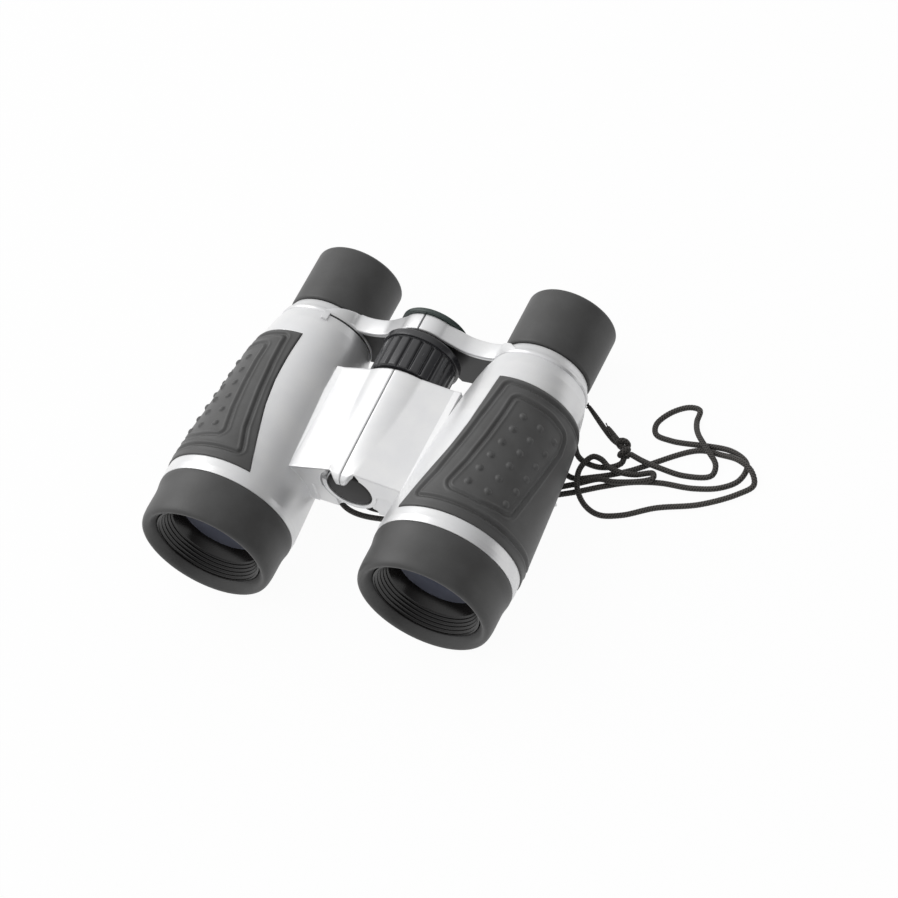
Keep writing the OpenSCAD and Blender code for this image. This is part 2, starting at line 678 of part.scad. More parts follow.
module arm_cover(s) {
    top = arm_top(0);
    low = arm_top(cover_t);
    n = len(low);
    color([0.85, 0.86, 0.88]) resting() on_side(s) difference() {
        across(arm_y0, arm_y1) polygon(concat(top, [for (i = [n - 1:-1:0]) low[i]]));
        eyepiece_room();
    }
}

module arm_plate(s) {
    low = arm_top(cover_t + fit_gap / 2);
    reach = hinge_h - arm_low_h;
    y0 = s < 0 ? arm_y0 - run_gap : arm_mid + leaf_gap / 2;
    y1 = s < 0 ? arm_mid - leaf_gap / 2 : arm_y1;
    color([0.12, 0.12, 0.13]) resting() on_side(s) difference() {
        union() {
            difference() {
                across(arm_y0 + arm_inset, arm_y1 - arm_inset) polygon(concat(low,
                    [[arm_root_x, arm_low_h], [reach * tan(arm_in_angle), arm_low_h],
                        [arm_seam_x, hinge_h]]));
                // room for the other arm's hub leaf
                hinge_rod(s < 0 ? arm_mid - leaf_gap / 2 : arm_y0 - overrun,
                    s < 0 ? arm_y1 + overrun : arm_mid + leaf_gap / 2, leaf_r + run_gap);
            }
            hinge_rod(y0, y1, leaf_r);
            if (s < 0) hinge_rod(arm_y0 - collar_l, arm_y0 - run_gap, collar_r);
        }
        eyepiece_room();
        hinge_rod(arm_y0 - collar_l - overrun, arm_y1 + overrun,
            s < 0 ? sleeve_r + pin_gap : sleeve_r);
    }
}

module hinge_pin() {
    color([0.55, 0.55, 0.57]) resting() hinge_rod(disc_y0 + disc_l, pin_y1, pin_r);
}

module pin_disc() {
    color([0.1, 0.1, 0.11]) resting() hinge_rod(disc_y0, disc_y0 + disc_l, disc_r);
}

module focus_wheel() {
    color([0.12, 0.12, 0.13]) resting() difference() {
        union() {
            hinge_rod(wheel_y0, wheel_y0 + wheel_l, wheel_r - flute_depth);
            for (i = [0:wheel_flutes - 1]) {
                a = 360 * i / wheel_flutes;
                r = wheel_r - flute_r;
                rod(r * cos(a), hinge_h + r * sin(a), wheel_y0 + wheel_edge,
                    wheel_y0 + wheel_l - wheel_edge, flute_r, 24);
            }
        }
        hinge_rod(wheel_y0 - overrun, sleeve_y0 - run_gap, pin_r + pin_gap);
        hinge_rod(sleeve_y0 - run_gap, wheel_y0 + wheel_l + overrun, sleeve_r + pin_gap);
    }
}

module focus_sleeve() {
    color([0.3, 0.3, 0.32]) resting() difference() {
        hinge_rod(sleeve_y0, sleeve_y1, sleeve_r);
        hinge_rod(sleeve_y0 - overrun, arm_y1 - sleeve_wall, sleeve_r - sleeve_wall);
    }
}

module rear_cap() {
    y0 = arm_y1 + fit_gap;
    color([0.1, 0.14, 0.13]) resting() difference() {
        turned(0, hinge_h, concat([[0, y0], [cap_r - cap_edge, y0], [cap_r, y0 + cap_edge]],
            [for (i = [0:10]) let (a = 9 * i)
                [cap_r - cap_round * (1 - cos(a)) - (cap_r - cap_round) * pow(i / 10, 2.2),
                    y0 + 3 * cap_edge + (cap_l - 3 * cap_edge) * sin(a)]]));
        hinge_rod(y0 - overrun, sleeve_y1, sleeve_r);
    }
}

// Cord of even thickness along a route
function norm3(v) = v / norm(v);
module cord_tube(route) {
    n = len(route);
    k = cord_sides;
    ways = [for (i = [0:n - 1]) norm3(route[min(n - 1, i + 1)] - route[max(0, i - 1)])];
    points = [for (i = [0:n - 1]) let (side = norm3(cross(ways[i], [0, 0, 1])), up = cross(side, ways[i]))
        for (j = [0:k - 1]) let (a = 360 * (j + 0.5) / k)
            route[i] + cord_r * (cos(a) * side + sin(a) * up)];
    sides = [for (i = [0:n - 2]) for (j = [0:k - 1]) let (a = i * k + j, b = i * k + (j + 1) % k)
        each [[a, b, b + k], [a, b + k, a + k]]];
    ends = [for (j = [1:k - 2]) each [[0, j + 1, j], [(n - 1) * k, (n - 1) * k + j, (n - 1) * k + j + 1]]];
    color([0.08, 0.08, 0.08]) polyhedron(points, concat(sides, ends));
}

module cord_knot() {
    reach = knot_r + knot_step;
    color([0.08, 0.08, 0.08]) translate(knot_at) rotate([0, 90, knot_turn])
        rotate_extrude($fn = 48) polygon([for (i = [0:knot_rings])
            let (l = reach * (2 * i / knot_rings - 1), off = abs(l) - knot_step)
                [sqrt(max(0, knot_r * knot_r - off * off)), l]]);
}

barrel(1);  // right_barrel
barrel(-1);  // left_barrel
bridge_cap(1);  // right_bridge_cap
bridge_cap(-1);  // left_bridge_cap
underplate(1);  // right_underplate
underplate(-1);  // left_underplate
screws(1);  // right_screws
screws(-1);  // left_screws
hood(1);  // right_hood
hood(-1);  // left_hood
baffle(1);  // right_baffle
baffle(-1);  // left_baffle
objective(1);  // right_objective
objective(-1);  // left_objective
grip(1);  // right_grip
grip(-1);  // left_grip
eyepiece(1);  // right_eyepiece
eyepiece(-1);  // left_eyepiece
eyecup(1);  // right_eyecup
eyecup(-1);  // left_eyecup
eye_lens(1);  // right_eye_lens
eye_lens(-1);  // left_eye_lens
lens_ring(1);  // right_lens_ring
lens_ring(-1);  // left_lens_ring
arm_plate(1);  // right_arm_plate
arm_plate(-1);  // left_arm_plate
arm_cover(1);  // right_arm_cover
arm_cover(-1);  // left_arm_cover
hinge_pin();
pin_disc();
focus_wheel();
focus_sleeve();
rear_cap();
cord_tube(route_right_end);  // cord_right_end
cord_tube(route_left_end);  // cord_left_end
cord_tube(route_loop);  // cord_loop
cord_knot();
for (r = route_tails) cord_tube(r);  // cord_tails
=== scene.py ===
"""Toy binoculars lying on a table: rubber, lacquer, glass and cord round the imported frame."""
import json
import math

import bmesh
import bpy
import numpy as np
from mathutils import Matrix, Vector


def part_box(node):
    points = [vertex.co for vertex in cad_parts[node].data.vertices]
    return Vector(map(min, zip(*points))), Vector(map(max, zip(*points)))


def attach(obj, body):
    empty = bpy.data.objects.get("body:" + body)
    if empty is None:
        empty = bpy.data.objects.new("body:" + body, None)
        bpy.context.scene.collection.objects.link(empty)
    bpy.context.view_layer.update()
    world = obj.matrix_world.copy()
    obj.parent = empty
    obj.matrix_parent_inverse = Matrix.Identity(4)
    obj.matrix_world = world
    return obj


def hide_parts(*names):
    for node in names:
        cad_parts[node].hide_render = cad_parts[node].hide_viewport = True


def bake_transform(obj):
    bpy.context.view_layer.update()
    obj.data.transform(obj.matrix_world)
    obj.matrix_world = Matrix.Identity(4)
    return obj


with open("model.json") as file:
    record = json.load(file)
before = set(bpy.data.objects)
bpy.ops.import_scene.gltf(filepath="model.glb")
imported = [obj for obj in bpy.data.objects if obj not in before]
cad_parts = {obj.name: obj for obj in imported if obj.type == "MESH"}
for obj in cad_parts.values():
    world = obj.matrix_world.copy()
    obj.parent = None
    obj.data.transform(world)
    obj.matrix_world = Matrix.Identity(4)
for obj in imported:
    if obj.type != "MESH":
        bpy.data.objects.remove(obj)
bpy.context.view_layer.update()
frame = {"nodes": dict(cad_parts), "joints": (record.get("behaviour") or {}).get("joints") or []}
NODES = frame["nodes"]
MM = 0.001
SIDES = {"right": 1, "left": -1}

# The optical frame: x across, y along the barrels from the hood opening, z up, in millimetres
HINGE_H = 5.2
FOLD = next(j for j in frame["joints"] if j["name"] == "fold")
ALONG = -Vector(FOLD["axis"])
ACROSS = Vector((1, 0, 0))
UP = ACROSS.cross(ALONG)
ORIGIN = Vector(FOLD["pos_m"]) - UP * HINGE_H * MM
OPTICAL = Matrix((ACROSS * MM, ALONG * MM, UP * MM)).transposed().to_4x4()
OPTICAL.translation = ORIGIN
HALF_X = sum(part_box("right_eyepiece")[k].x for k in (0, 1)) / 2 / MM


# Shader maths: a wrapped socket takes operators, and each adds its node


def is_vector(value):
    """Whether a value or wrapped socket holds three numbers."""
    if isinstance(value, Wire):
        return value.socket.type in ("VECTOR", "RGBA")
    return isinstance(value, (tuple, Vector))


class Wire:
    """A shader socket that works in Python expressions."""

    def __init__(self, tree, socket):
        self.tree = tree
        self.socket = socket

    def math(self, operation, *values):
        """Adds a maths node, for vectors where one of the values is a vector."""
        if any(is_vector(v) for v in values):
            return self.tree.node("ShaderNodeVectorMath", {"operation": operation}, values)
        return self.tree.node("ShaderNodeMath", {"operation": operation}, values)

    def __add__(self, other):
        return self.math("ADD", self, other)

    def __radd__(self, other):
        return self.math("ADD", other, self)

    def __mul__(self, other):
        if is_vector(self) and not is_vector(other):
            return self.tree.node("ShaderNodeVectorMath", {"operation": "SCALE"}, {0: self, "Scale": other})
        return self.math("MULTIPLY", self, other)

    __rmul__ = __mul__

    def band(self, low, high):
        """0 below low, 1 above high and a smooth step between."""
        return self.tree.node("ShaderNodeMapRange", {"interpolation_type": "SMOOTHSTEP"},
                              {"Value": self, "From Min": low, "From Max": high})


class Finish:
    """A material under construction."""

    def __init__(self, name):
        self.material = bpy.data.materials.new(name)
        self.material.use_nodes = True
        self.links = self.material.node_tree.links
        self.nodes = self.material.node_tree.nodes
        self.shader = self.nodes["Principled BSDF"]

    def node(self, kind, settings=None, values=None, out=0):
        """Adds a node: settings first, then the values or wires of its sockets."""
        made = self.nodes.new(kind)
        for key, value in (settings or {}).items():
            setattr(made, key, value)
        pairs = values.items() if isinstance(values, dict) else enumerate(values or ())
        for key, value in pairs:
            self.plug(made.inputs[key], value)
        return Wire(self, made.outputs[out])

    def plug(self, socket, value):
        if isinstance(value, Wire):
            self.links.new(value.socket, socket)
        elif socket.type == "RGBA":
            socket.default_value = (*value, 1)
        else:
            socket.default_value = value

    def set(self, **values):
        """Sets the shader's own sockets, named with underscores for spaces."""
        for key, value in values.items():
            self.plug(self.shader.inputs[key.replace("_", " ")], value)
        return self

    def place(self):
        """Position on the piece in millimetres."""
        return self.node("ShaderNodeTexCoord", out="Object") * (1 / MM)

    def noise(self, size, detail=3.0, rough=0.5, stretch=(1, 1, 1)):
        """Soft noise from 0 to 1 whose grain is size millimetres."""
        spot = self.place() * Vector(stretch) if stretch != (1, 1, 1) else self.place()
        return self.node("ShaderNodeTexNoise", {},
                         {"Vector": spot, "Scale": 1 / size, "Detail": detail, "Roughness": rough})

    def mix(self, share, first, second):
        """Colour between first and second."""
        return self.node("ShaderNodeMix", {"data_type": "RGBA"},
                         {"Factor": share, "A": first, "B": second}, out="Result")

    def bump(self, height, depth, strength=1.0, normal=None):
        """Normal from a height of 0 to 1 that stands depth millimetres."""
        values = {"Height": height, "Distance": depth * MM, "Strength": strength}
        if normal is not None:
            values["Normal"] = normal
        return self.node("ShaderNodeBump", {}, values)

    def soft_edge(self, radius):
        """Normal that rounds sharp edges by a radius in millimetres."""
        return self.node("ShaderNodeBevel", {"samples": 6}, {"Radius": radius * MM})


def silver_lacquer(name, tone, gloss):
    """Fine-flaked lacquer on moulded plastic, with its sharp edges rounded in the shading."""
    f = Finish(name)
    flake = f.noise(0.11, 2.0)
    cloud = f.noise(8.0)
    base = f.mix(cloud.band(0.3, 0.7), tuple(tone * c for c in (0.985, 0.988, 1.0)), (tone * 1.04,) * 3)
    base = f.mix(flake.band(0.4, 0.75) * 0.3, base, tuple(tone * c for c in (0.86, 0.865, 0.88)))
    normal = f.bump(flake, 0.0025, 0.5, f.soft_edge(0.35))
    rough = cloud * 0.05 + flake * 0.06 + gloss
    return f.set(Base_Color=base, Metallic=0.55, Roughness=rough, Specular_IOR_Level=0.6,
                 Normal=normal).material


def dark_rubber(name, tone):
    """Matt moulded rubber with a fine grain and specks of dust."""
    f = Finish(name)
    grain = f.noise(0.17, 3.0, 0.6)
    cloud = f.noise(6.0, 4.0)
    dust = f.noise(0.55, 2.0).band(0.715, 0.78)
    base = f.mix(cloud.band(0.3, 0.75), (tone, tone * 0.99, tone * 0.98), (tone * 1.22,) * 3)
    base = f.mix(dust * 0.3, base, (tone * 2.4,) * 3)
    normal = f.bump(grain, 0.018, 0.5)
    rough = grain * 0.1 + cloud * 0.06 + 0.4
    return f.set(Base_Color=base, Roughness=rough, Specular_IOR_Level=0.5, Normal=normal).material


def black_plastic(name, colour, rough_low, edge=0.0, shine=0.5):
    """Moulded black plastic with faint scuffs along its length."""
    f = Finish(name)
    cloud = f.noise(3.0)
    scuff = f.noise(0.6, 4.0, 0.65, (1, 0.2, 1)).band(0.55, 0.8)
    base = f.mix(scuff * 0.3, colour, tuple(c * 1.6 + 0.01 for c in colour))
    rough = cloud * 0.06 + scuff * 0.08 + rough_low
    normal = f.bump(cloud, 0.01, 0.3, f.soft_edge(edge) if edge else None)
    return f.set(Base_Color=base, Roughness=rough, Specular_IOR_Level=shine, Normal=normal).material


def lens_glass(name, colour, alpha):
    """Coated lens with faint smears."""
    f = Finish(name)
    smear = f.noise(4.0, 4.0).band(0.4, 0.8)
    rough = smear * 0.06 + 0.05
    base = f.mix(smear * 0.3, colour, tuple(min(1.0, c * 1.3) for c in colour))
    return f.set(Base_Color=base, Roughness=rough, Alpha=alpha, Specular_IOR_Level=0.3,
                 Coat_Weight=0.4, Coat_Roughness=0.05).material


def plain_steel(name):
    """Steel with faint marks along its length."""
    f = Finish(name)
    brush = f.noise(0.4, 3.0, 0.6, (1, 0.1, 1))
    base = f.mix(brush, (0.42, 0.42, 0.43), (0.58, 0.58, 0.6))
    return f.set(Base_Color=base, Metallic=1.0, Roughness=brush * 0.15 + 0.25,
                 Normal=f.bump(brush, 0.01, 0.4)).material


def braided_cord(name):
    """Brown-black yarn with painted shade between the strands, darkened by the braid's own height."""
    f = Finish(name)
    fibre = f.noise(0.1, 3.0, 0.6)
    lift = f.node("ShaderNodeAttribute", {"attribute_name": "lift"}, out="Fac")
    # Painted shade: the low places between the strands go near black, and the raised strands keep the
    # yarn's colour.
    dark, pale = (0.003, 0.0028, 0.0025), (0.13, 0.118, 0.106)
    base = f.mix(lift.band(0.5, 1.0) * (fibre * 0.6 + 0.5), dark, pale)
    return f.set(Base_Color=base, Roughness=0.7, Sheen_Weight=0.2, Sheen_Roughness=0.5,
                 Normal=f.bump(fibre, 0.04, 0.6)).material


SILVER = silver_lacquer("silver_lacquer", 0.78, 0.3)
SILVER_RING = silver_lacquer("silver_ring_lacquer", 0.74, 0.26)
HOOD_RUBBER = dark_rubber("hood_rubber", 0.05)
GRIP_RUBBER = dark_rubber("grip_rubber", 0.064)
MATT_BLACK = black_plastic("matt_black_plastic", (0.016, 0.015, 0.016), 0.4, 0.15)
RIB_BLACK = black_plastic("ribbed_black_plastic", (0.007, 0.006, 0.006), 0.22, shine=0.45)
GLOSS_BLACK = black_plastic("gloss_black_plastic", (0.022, 0.022, 0.025), 0.22, shine=0.7)
DISC_BLACK = black_plastic("front_disc_black", (0.008, 0.0065, 0.007), 0.34, shine=0.18)
CAP_BLACK = black_plastic("green_black_plastic", (0.035, 0.05, 0.046), 0.24)
FRONT_GLASS = lens_glass("front_lens_glass", (0.1, 0.106, 0.14), 0.94)
EYE_GLASS = lens_glass("eye_lens_glass", (0.12, 0.13, 0.15), 0.55)
STEEL = plain_steel("plain_steel")
CORD_YARN = braided_cord("braided_cord")

FINISH_OF = {
    "barrel": SILVER, "bridge_cap": SILVER, "underplate": SILVER, "arm_cover": SILVER,
    "eyepiece": SILVER_RING, "screws": STEEL, "hood": HOOD_RUBBER, "grip": GRIP_RUBBER,
    "eyecup": HOOD_RUBBER, "baffle": RIB_BLACK, "lens_ring": MATT_BLACK, "arm_plate": MATT_BLACK,
    "objective": FRONT_GLASS, "eye_lens": EYE_GLASS, "hinge_pin": STEEL, "pin_disc": DISC_BLACK,
    "focus_wheel": GLOSS_BLACK, "focus_sleeve": GLOSS_BLACK, "rear_cap": CAP_BLACK,
}


def finish_nodes():
    """Every carried-over node gets its finish, and the cord's nodes get the yarn."""
    for name, node in NODES.items():
        side, _, rest = name.partition("_")
        key = rest if side in SIDES else name
        node.data.materials.clear()
        node.data.materials.append(FINISH_OF.get(key, CORD_YARN))


# Camera at the photograph's angle; its focal length is in pixels of the square frame
FRAME_PX = 898
FOCAL_PX = 3351.2
SENSOR_MM = 36.0
CLIP_M = (0.01, 20)
CAMERA_AT = Vector((0.43201, -0.39754, 0.7576))
CAMERA_RIGHT = Vector((0.875337, 0.39764, -0.275076))
CAMERA_UP = Vector((-0.197146, 0.812993, 0.547883))


def set_camera():
    """Places the camera that the render is made with."""
    data = bpy.data.cameras.new("camera")
    data.sensor_width = SENSOR_MM
    data.lens = FOCAL_PX / FRAME_PX * SENSOR_MM
    data.clip_start, data.clip_end = CLIP_M
    camera = bpy.data.objects.new("camera", data)
    bpy.context.scene.collection.objects.link(camera)
    right = CAMERA_RIGHT.normalized()
    back = right.cross(CAMERA_UP).normalized()
    turn = Matrix((right, back.cross(right), back)).transposed().to_4x4()
    camera.matrix_world = Matrix.Translation(CAMERA_AT) @ turn
    bpy.context.scene.camera = camera


set_camera()

# The neck cord's routes in millimetres above the table, as in the part's source, but for the
# second tail, which is shorter here
CORD_D = 1.7
ROUTE_RIGHT_END = [
    (43.5, 0.3, 2.2), (46.7, 2.2, 2.1), (51.6, 5.4, 0.85), (58.6, 9, 0.85), (66, 12.2, 0.85),
    (74, 14, 0.85), (84, 14.6, 0.85), (91.4, 16.6, 0.85), (95.8, 20.2, 0.85), (96.2, 25.4, 0.85),
    (90.4, 28.7, 0.85), (72, 27.9, 0.85), (66.8, 29, 0.85), (65.7, 32.2, 0.85), (68.4, 36.8, 0.85),
    (73, 39.7, 0.85), (76.2, 39.4, 0.85), (76.8, 35.6, 0.9), (79.4, 31, 2.6), (83.8, 26.8, 2.6),
    (87.8, 22.9, 1.6), (87.6, 19.8, 0.85), (80, 17.9, 0.85), (72.6, 17.8, 2.5), (67.4, 18.7, 2.6),
    (62.9, 20.2, 2.2)]
ROUTE_LOOP = [
    (42.3, 2.3, 2.2), (45.5, 4.3, 2.1), (51.2, 8.2, 0.85), (57.2, 10.5, 1.9), (61.6, 10.2, 2.6),
    (70.2, 12.6, 2.6), (72.3, 14.2, 2.4), (71.4, 16, 1.8), (66.4, 14.6, 1.4), (63.2, 13.6, 2.6),
    (58.6, 14.5, 2.6), (55.4, 16.4, 2.6), (52.6, 16.6, 2.6), (50.6, 12, 2.6), (52.4, 5.8, 2.6),
    (55.8, 2, 1.1), (61, 0, 0.85), (67.4, 1.4, 0.85), (76, 6, 0.85), (88, 10.2, 0.85),
    (97.2, 16, 0.85), (100.4, 19.8, 0.85), (98.8, 23, 2.3), (94.2, 25.4, 2.6), (88, 26.9, 0.85),
    (80.6, 26.6, 0.85), (63.6, 15.4, 0.85), (55.6, 11.6, 0.85), (48.4, 9.6, 0.85), (43.2, 13, 0.85),
    (39.6, 24.6, 0.85), (31.8, 27.8, 0.85), (9, -13.2, 0.85), (0, -16.8, 0.85), (-15, -14.6, 0.85),
    (-33, 28, 0.85), (-42.6, 21, 0.85), (-46.6, 8, 0.85), (-45.5, 4.3, 2.1), (-42.3, 2.3, 2.2)]
ROUTE_LEFT_END = [
    (-43.5, 0.3, 2.2), (-46.7, 2.2, 2.1), (-49.2, 7.6, 0.85), (-47.2, 20, 0.85), (-39, 31.4, 0.85),
    (-29, 29.8, 0.85), (-19, 4, 0.85), (-10, -12.6, 0.85), (0, -13.8, 0.85), (8, -7, 0.85),
    (22, 26, 0.85), (30, 31.6, 0.85), (39, 30.2, 0.85), (44, 22, 0.85), (48, 16.4, 0.85),
    (54, 14.7, 0.85), (58.6, 15.7, 0.85), (61, 17.4, 1.2), (61.4, 18.9, 1.9)]
ROUTE_TAILS = [
    [(58.7, 22.8, 1.5), (55.6, 24.2, 0.85), (43.9, 33.2, 0.85)],
    [(58.9, 22.6, 3.1), (56.9, 24.0, 2.5), (53.0, 27.0, 2.3)]]

# Places worked out between two points of a line, and the most of a side that a round corner takes
LINE_SUBSTEPS = 24
UNDER_HALF = 0.49


def smooth_line(points, step):
    """Evenly spaced places along a centripetal Catmull-Rom line through the points."""
    p = [np.array(q, float) for q in points]
    p = [2 * p[0] - p[1]] + p + [2 * p[-1] - p[-2]]
    dense = []
    for a, b, c, d in zip(p, p[1:], p[2:], p[3:]):
        t1 = np.linalg.norm(b - a) ** 0.5
        t2 = t1 + np.linalg.norm(c - b) ** 0.5
        t3 = t2 + np.linalg.norm(d - c) ** 0.5
        for t in np.linspace(t1, t2, LINE_SUBSTEPS, endpoint=False):
            ab = (t1 - t) / t1 * a + t / t1 * b
            bc = (t2 - t) / (t2 - t1) * b + (t - t1) / (t2 - t1) * c
            cd = (t3 - t) / (t3 - t2) * c + (t - t2) / (t3 - t2) * d
            abc = (t2 - t) / t2 * ab + t / t2 * bc
            bcd = (t3 - t) / (t3 - t1) * bc + (t - t1) / (t3 - t1) * cd
            dense.append((t2 - t) / (t2 - t1) * abc + (t - t1) / (t2 - t1) * bcd)
    dense.append(p[-2])
    dense = np.array(dense)
    run = np.concatenate([[0], np.cumsum(np.linalg.norm(np.diff(dense, axis=0), axis=1))])
    count = max(2, round(run[-1] / step))
    places = np.linspace(0, run[-1], count + 1)
    return np.column_stack([np.interp(places, run, dense[:, k]) for k in range(dense.shape[1])])


def rounded(outline, steps=5):
    """A closed outline whose corners (x, y, radius) are eased by that radius."""
    corners = [np.array(p[:2], float) for p in outline]
    line = []
    for i, p in enumerate(outline):
        here = corners[i]
        if len(p) < 3:
            line.append(tuple(here))
            continue
        before, after = corners[i - 1] - here, corners[(i + 1) % len(corners)] - here
        reach_1, reach_2 = np.linalg.norm(before), np.linalg.norm(after)
        before, after = before / reach_1, after / reach_2
        half = math.acos(np.clip(before @ after, -1, 1)) / 2
        cut = min(p[2] / math.tan(half), UNDER_HALF * reach_1, UNDER_HALF * reach_2)
        middle = here + (before + after) / np.linalg.norm(before + after) * cut / math.cos(half)
        radius = cut * math.tan(half)
        start = here + before * cut - middle
        end = here + after * cut - middle
        a0, a1 = math.atan2(start[1], start[0]), math.atan2(end[1], end[0])
        sweep = (a1 - a0 + math.pi) % (2 * math.pi) - math.pi
        line += [(middle[0] + radius * math.cos(a0 + sweep * k / steps),
                  middle[1] + radius * math.sin(a0 + sweep * k / steps)) for k in range(steps + 1)]
    return line


def arc(x, y, radius, start, end, steps):
    """Points of a circle's arc, with its angles in degrees."""
    return [(x + radius * math.cos(math.radians(start + (end - start) * k / steps)),
             y + radius * math.sin(math.radians(start + (end - start) * k / steps)))
            for k in range(steps + 1)]


def sweep_faces(rows, around, first=0, closed=False):
    """Faces between the rows of points of a swept outline, with its ends closed."""
    faces = []
    for i in range(rows if closed else rows - 1):
        a, b = first + i * around, first + (i + 1) % rows * around
        faces += [(a + j, a + (j + 1) % around, b + (j + 1) % around, b + j) for j in range(around)]
    if not closed:
        faces += [tuple(range(first + around - 1, first - 1, -1)),
                  tuple(range(first + (rows - 1) * around, first + rows * around))]
    return faces


def add_mesh(name, points, faces, material, matrix=None, sharp=38):
    """A mesh object from points in millimetres, in the optical frame unless a matrix is given."""
    data = bpy.data.meshes.new(name)
    data.from_pydata([tuple(q) for q in points], [], faces)
    data.transform(OPTICAL if matrix is None else matrix)
    work = bmesh.new()
    work.from_mesh(data)
    bmesh.ops.recalc_face_normals(work, faces=work.faces)
    work.to_mesh(data)
    work.free()
    data.materials.append(material)
    data.polygons.foreach_set("use_smooth", [True] * len(data.polygons))
    data.set_sharp_from_angle(angle=math.radians(sharp))
    data.update()
    made = bpy.data.objects.new(name, data)
    bpy.context.scene.collection.objects.link(made)
    return made


def stand_for(piece, node, body):
    """A moulded piece takes its node's place on the node's body."""
    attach(piece, body)
    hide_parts(node)
    return piece


ON_AXIS = 1e-6


def lathe(name, outline, x, z, material, segments=144, shape=None):
    """A turned piece: a closed outline of (radius, y) round an axis along the barrels.

    shape(radius, y, turn) may change the radius round the axis.
    """
    points, rings = [], []
    turns = [2 * math.pi * k / segments for k in range(segments)]
    for radius, y in outline:
        if radius < ON_AXIS:
            rings.append([len(points)] * segments)
            points.append((x, y, z))
            continue
        rings.append(list(range(len(points), len(points) + segments)))
        for turn in turns:
            r = shape(radius, y, turn) if shape else radius
            points.append((x + r * math.cos(turn), y, z + r * math.sin(turn)))
    faces = []
    for ring, following in zip(rings, rings[1:] + rings[:1]):
        for k in range(segments):
            j = (k + 1) % segments
            face = []
            for corner in (ring[k], ring[j], following[j], following[k]):
                if corner not in face:
                    face.append(corner)
            if len(face) > 2:
                faces.append(tuple(face))
    return add_mesh(name, points, faces, material)


# Neck cord: a braided tube of even thickness along each route
TABLE_MM = Matrix.Scale(MM, 4)
BRAID_SIDES = 16
BRAID_STEP = 0.13
BRAID_PITCH = 3.2
BRAID_STRANDS = 4
BRAID_DEPTH = 0.2
PATH_EVERY = 6


def tube_rings(line, radius, closed=False):
    """Points of rings round a line, and the braid's lift at each point."""
    ways = np.gradient(line, axis=0)
    if closed:
        ways = np.roll(line, -1, axis=0) - np.roll(line, 1, axis=0)
    ways /= np.linalg.norm(ways, axis=1)[:, None]
    side = np.cross(ways, (0, 0, 1))
    side /= np.linalg.norm(side, axis=1)[:, None]
    up = np.cross(side, ways)
    turn = np.linspace(0, 2 * np.pi, BRAID_SIDES, endpoint=False)
    steps = np.linalg.norm(np.diff(line, axis=0), axis=1)
    run = np.concatenate([[0], np.cumsum(steps)])
    if closed:
        turns = round((run[-1] + np.linalg.norm(line[0] - line[-1])) / BRAID_PITCH)
        phase = 2 * np.pi * turns * np.arange(len(line))[:, None] / len(line)
    else:
        phase = 2 * np.pi * run[:, None] / BRAID_PITCH
    one_way = np.cos(BRAID_STRANDS * turn[None] - phase * BRAID_STRANDS)
    other_way = np.cos(BRAID_STRANDS * turn[None] + phase * BRAID_STRANDS)
    lift = np.maximum(one_way, other_way)
    reach = np.asarray(radius).reshape(-1, 1) - BRAID_DEPTH / 2 + BRAID_DEPTH / 2 * lift
    ring = np.cos(turn)[None, :, None] * side[:, None] + np.sin(turn)[None, :, None] * up[:, None]
    return (line[:, None] + reach[:, :, None] * ring).reshape(-1, 3), (lift.ravel() + 1) / 2


def yarn_mesh(name, tubes):
    """One piece of braided tubes, each (line, radius, closed)."""
    points, lifts, faces = [], [], []
    for line, radius, closed in tubes:
        ring_points, lift = tube_rings(line, radius, closed)
        faces += sweep_faces(len(line), BRAID_SIDES, sum(map(len, points)), closed)
        points.append(ring_points)
        lifts.append(lift)
    made = add_mesh(name, np.concatenate(points), faces, CORD_YARN, TABLE_MM, sharp=180)
    layer = made.data.attributes.new("lift", "FLOAT", "POINT")
    layer.data.foreach_set("value", np.concatenate(lifts).astype(np.float32))
    return made


def cord_stretch(name, route):
    """A braided piece along a route, and the line that it follows in metres."""
    line = smooth_line(route, BRAID_STEP)
    return yarn_mesh(name, [(line, CORD_D / 2, False)]), line * MM


def declare_cord(line, nodes):
    """Hides the nodes that a stretch of cord stands for; the points picked along its line are not kept."""
    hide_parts(*nodes)
    line[:-PATH_EVERY:PATH_EVERY].tolist() + [line[-1].tolist()]


# The knot: two turns of cord, tilted against each other, round the strands that they bind.
# Each turn is (place along the knot, tilt, sideways shift, radius)
KNOT_AT = np.array((60.3, 21.4, 2.35))
KNOT_TURN = math.radians(-52)
KNOT_REACH = 3.3
KNOT_STRAND_R = 0.88
KNOT_LOBES = ((-1.45, 0.62, 0.3, 1.18), (1.25, -0.55, -0.25, 1.3))
KNOT_TILT_TURN = 0.9
KNOT_WAVE = 0.35
KNOT_STEPS = 96
KNOT_CORE_POINTS = 50


def knot_tubes():
    """The knot's closed turns, and the strand inside them."""
    way = np.array((math.cos(KNOT_TURN), math.sin(KNOT_TURN), 0))
    side = np.array((-way[1], way[0], 0))
    up = np.array((0, 0, 1))
    turn = np.linspace(0, 2 * np.pi, KNOT_STEPS, endpoint=False)[:, None]
    tubes = []
    for place, tilt, shift, reach in KNOT_LOBES:
        ring = KNOT_AT + (place + tilt * reach * np.cos(turn + KNOT_TILT_TURN)) * way
        ring = ring + (shift + reach * np.cos(turn)) * side + reach * np.sin(turn) * up
        tubes.append((ring, KNOT_STRAND_R, True))
    core = np.linspace(-KNOT_REACH, KNOT_REACH, KNOT_CORE_POINTS)[:, None]
    tubes.append((KNOT_AT + core * way + KNOT_WAVE * np.sin(core) * side, KNOT_STRAND_R, False))
    return tubes


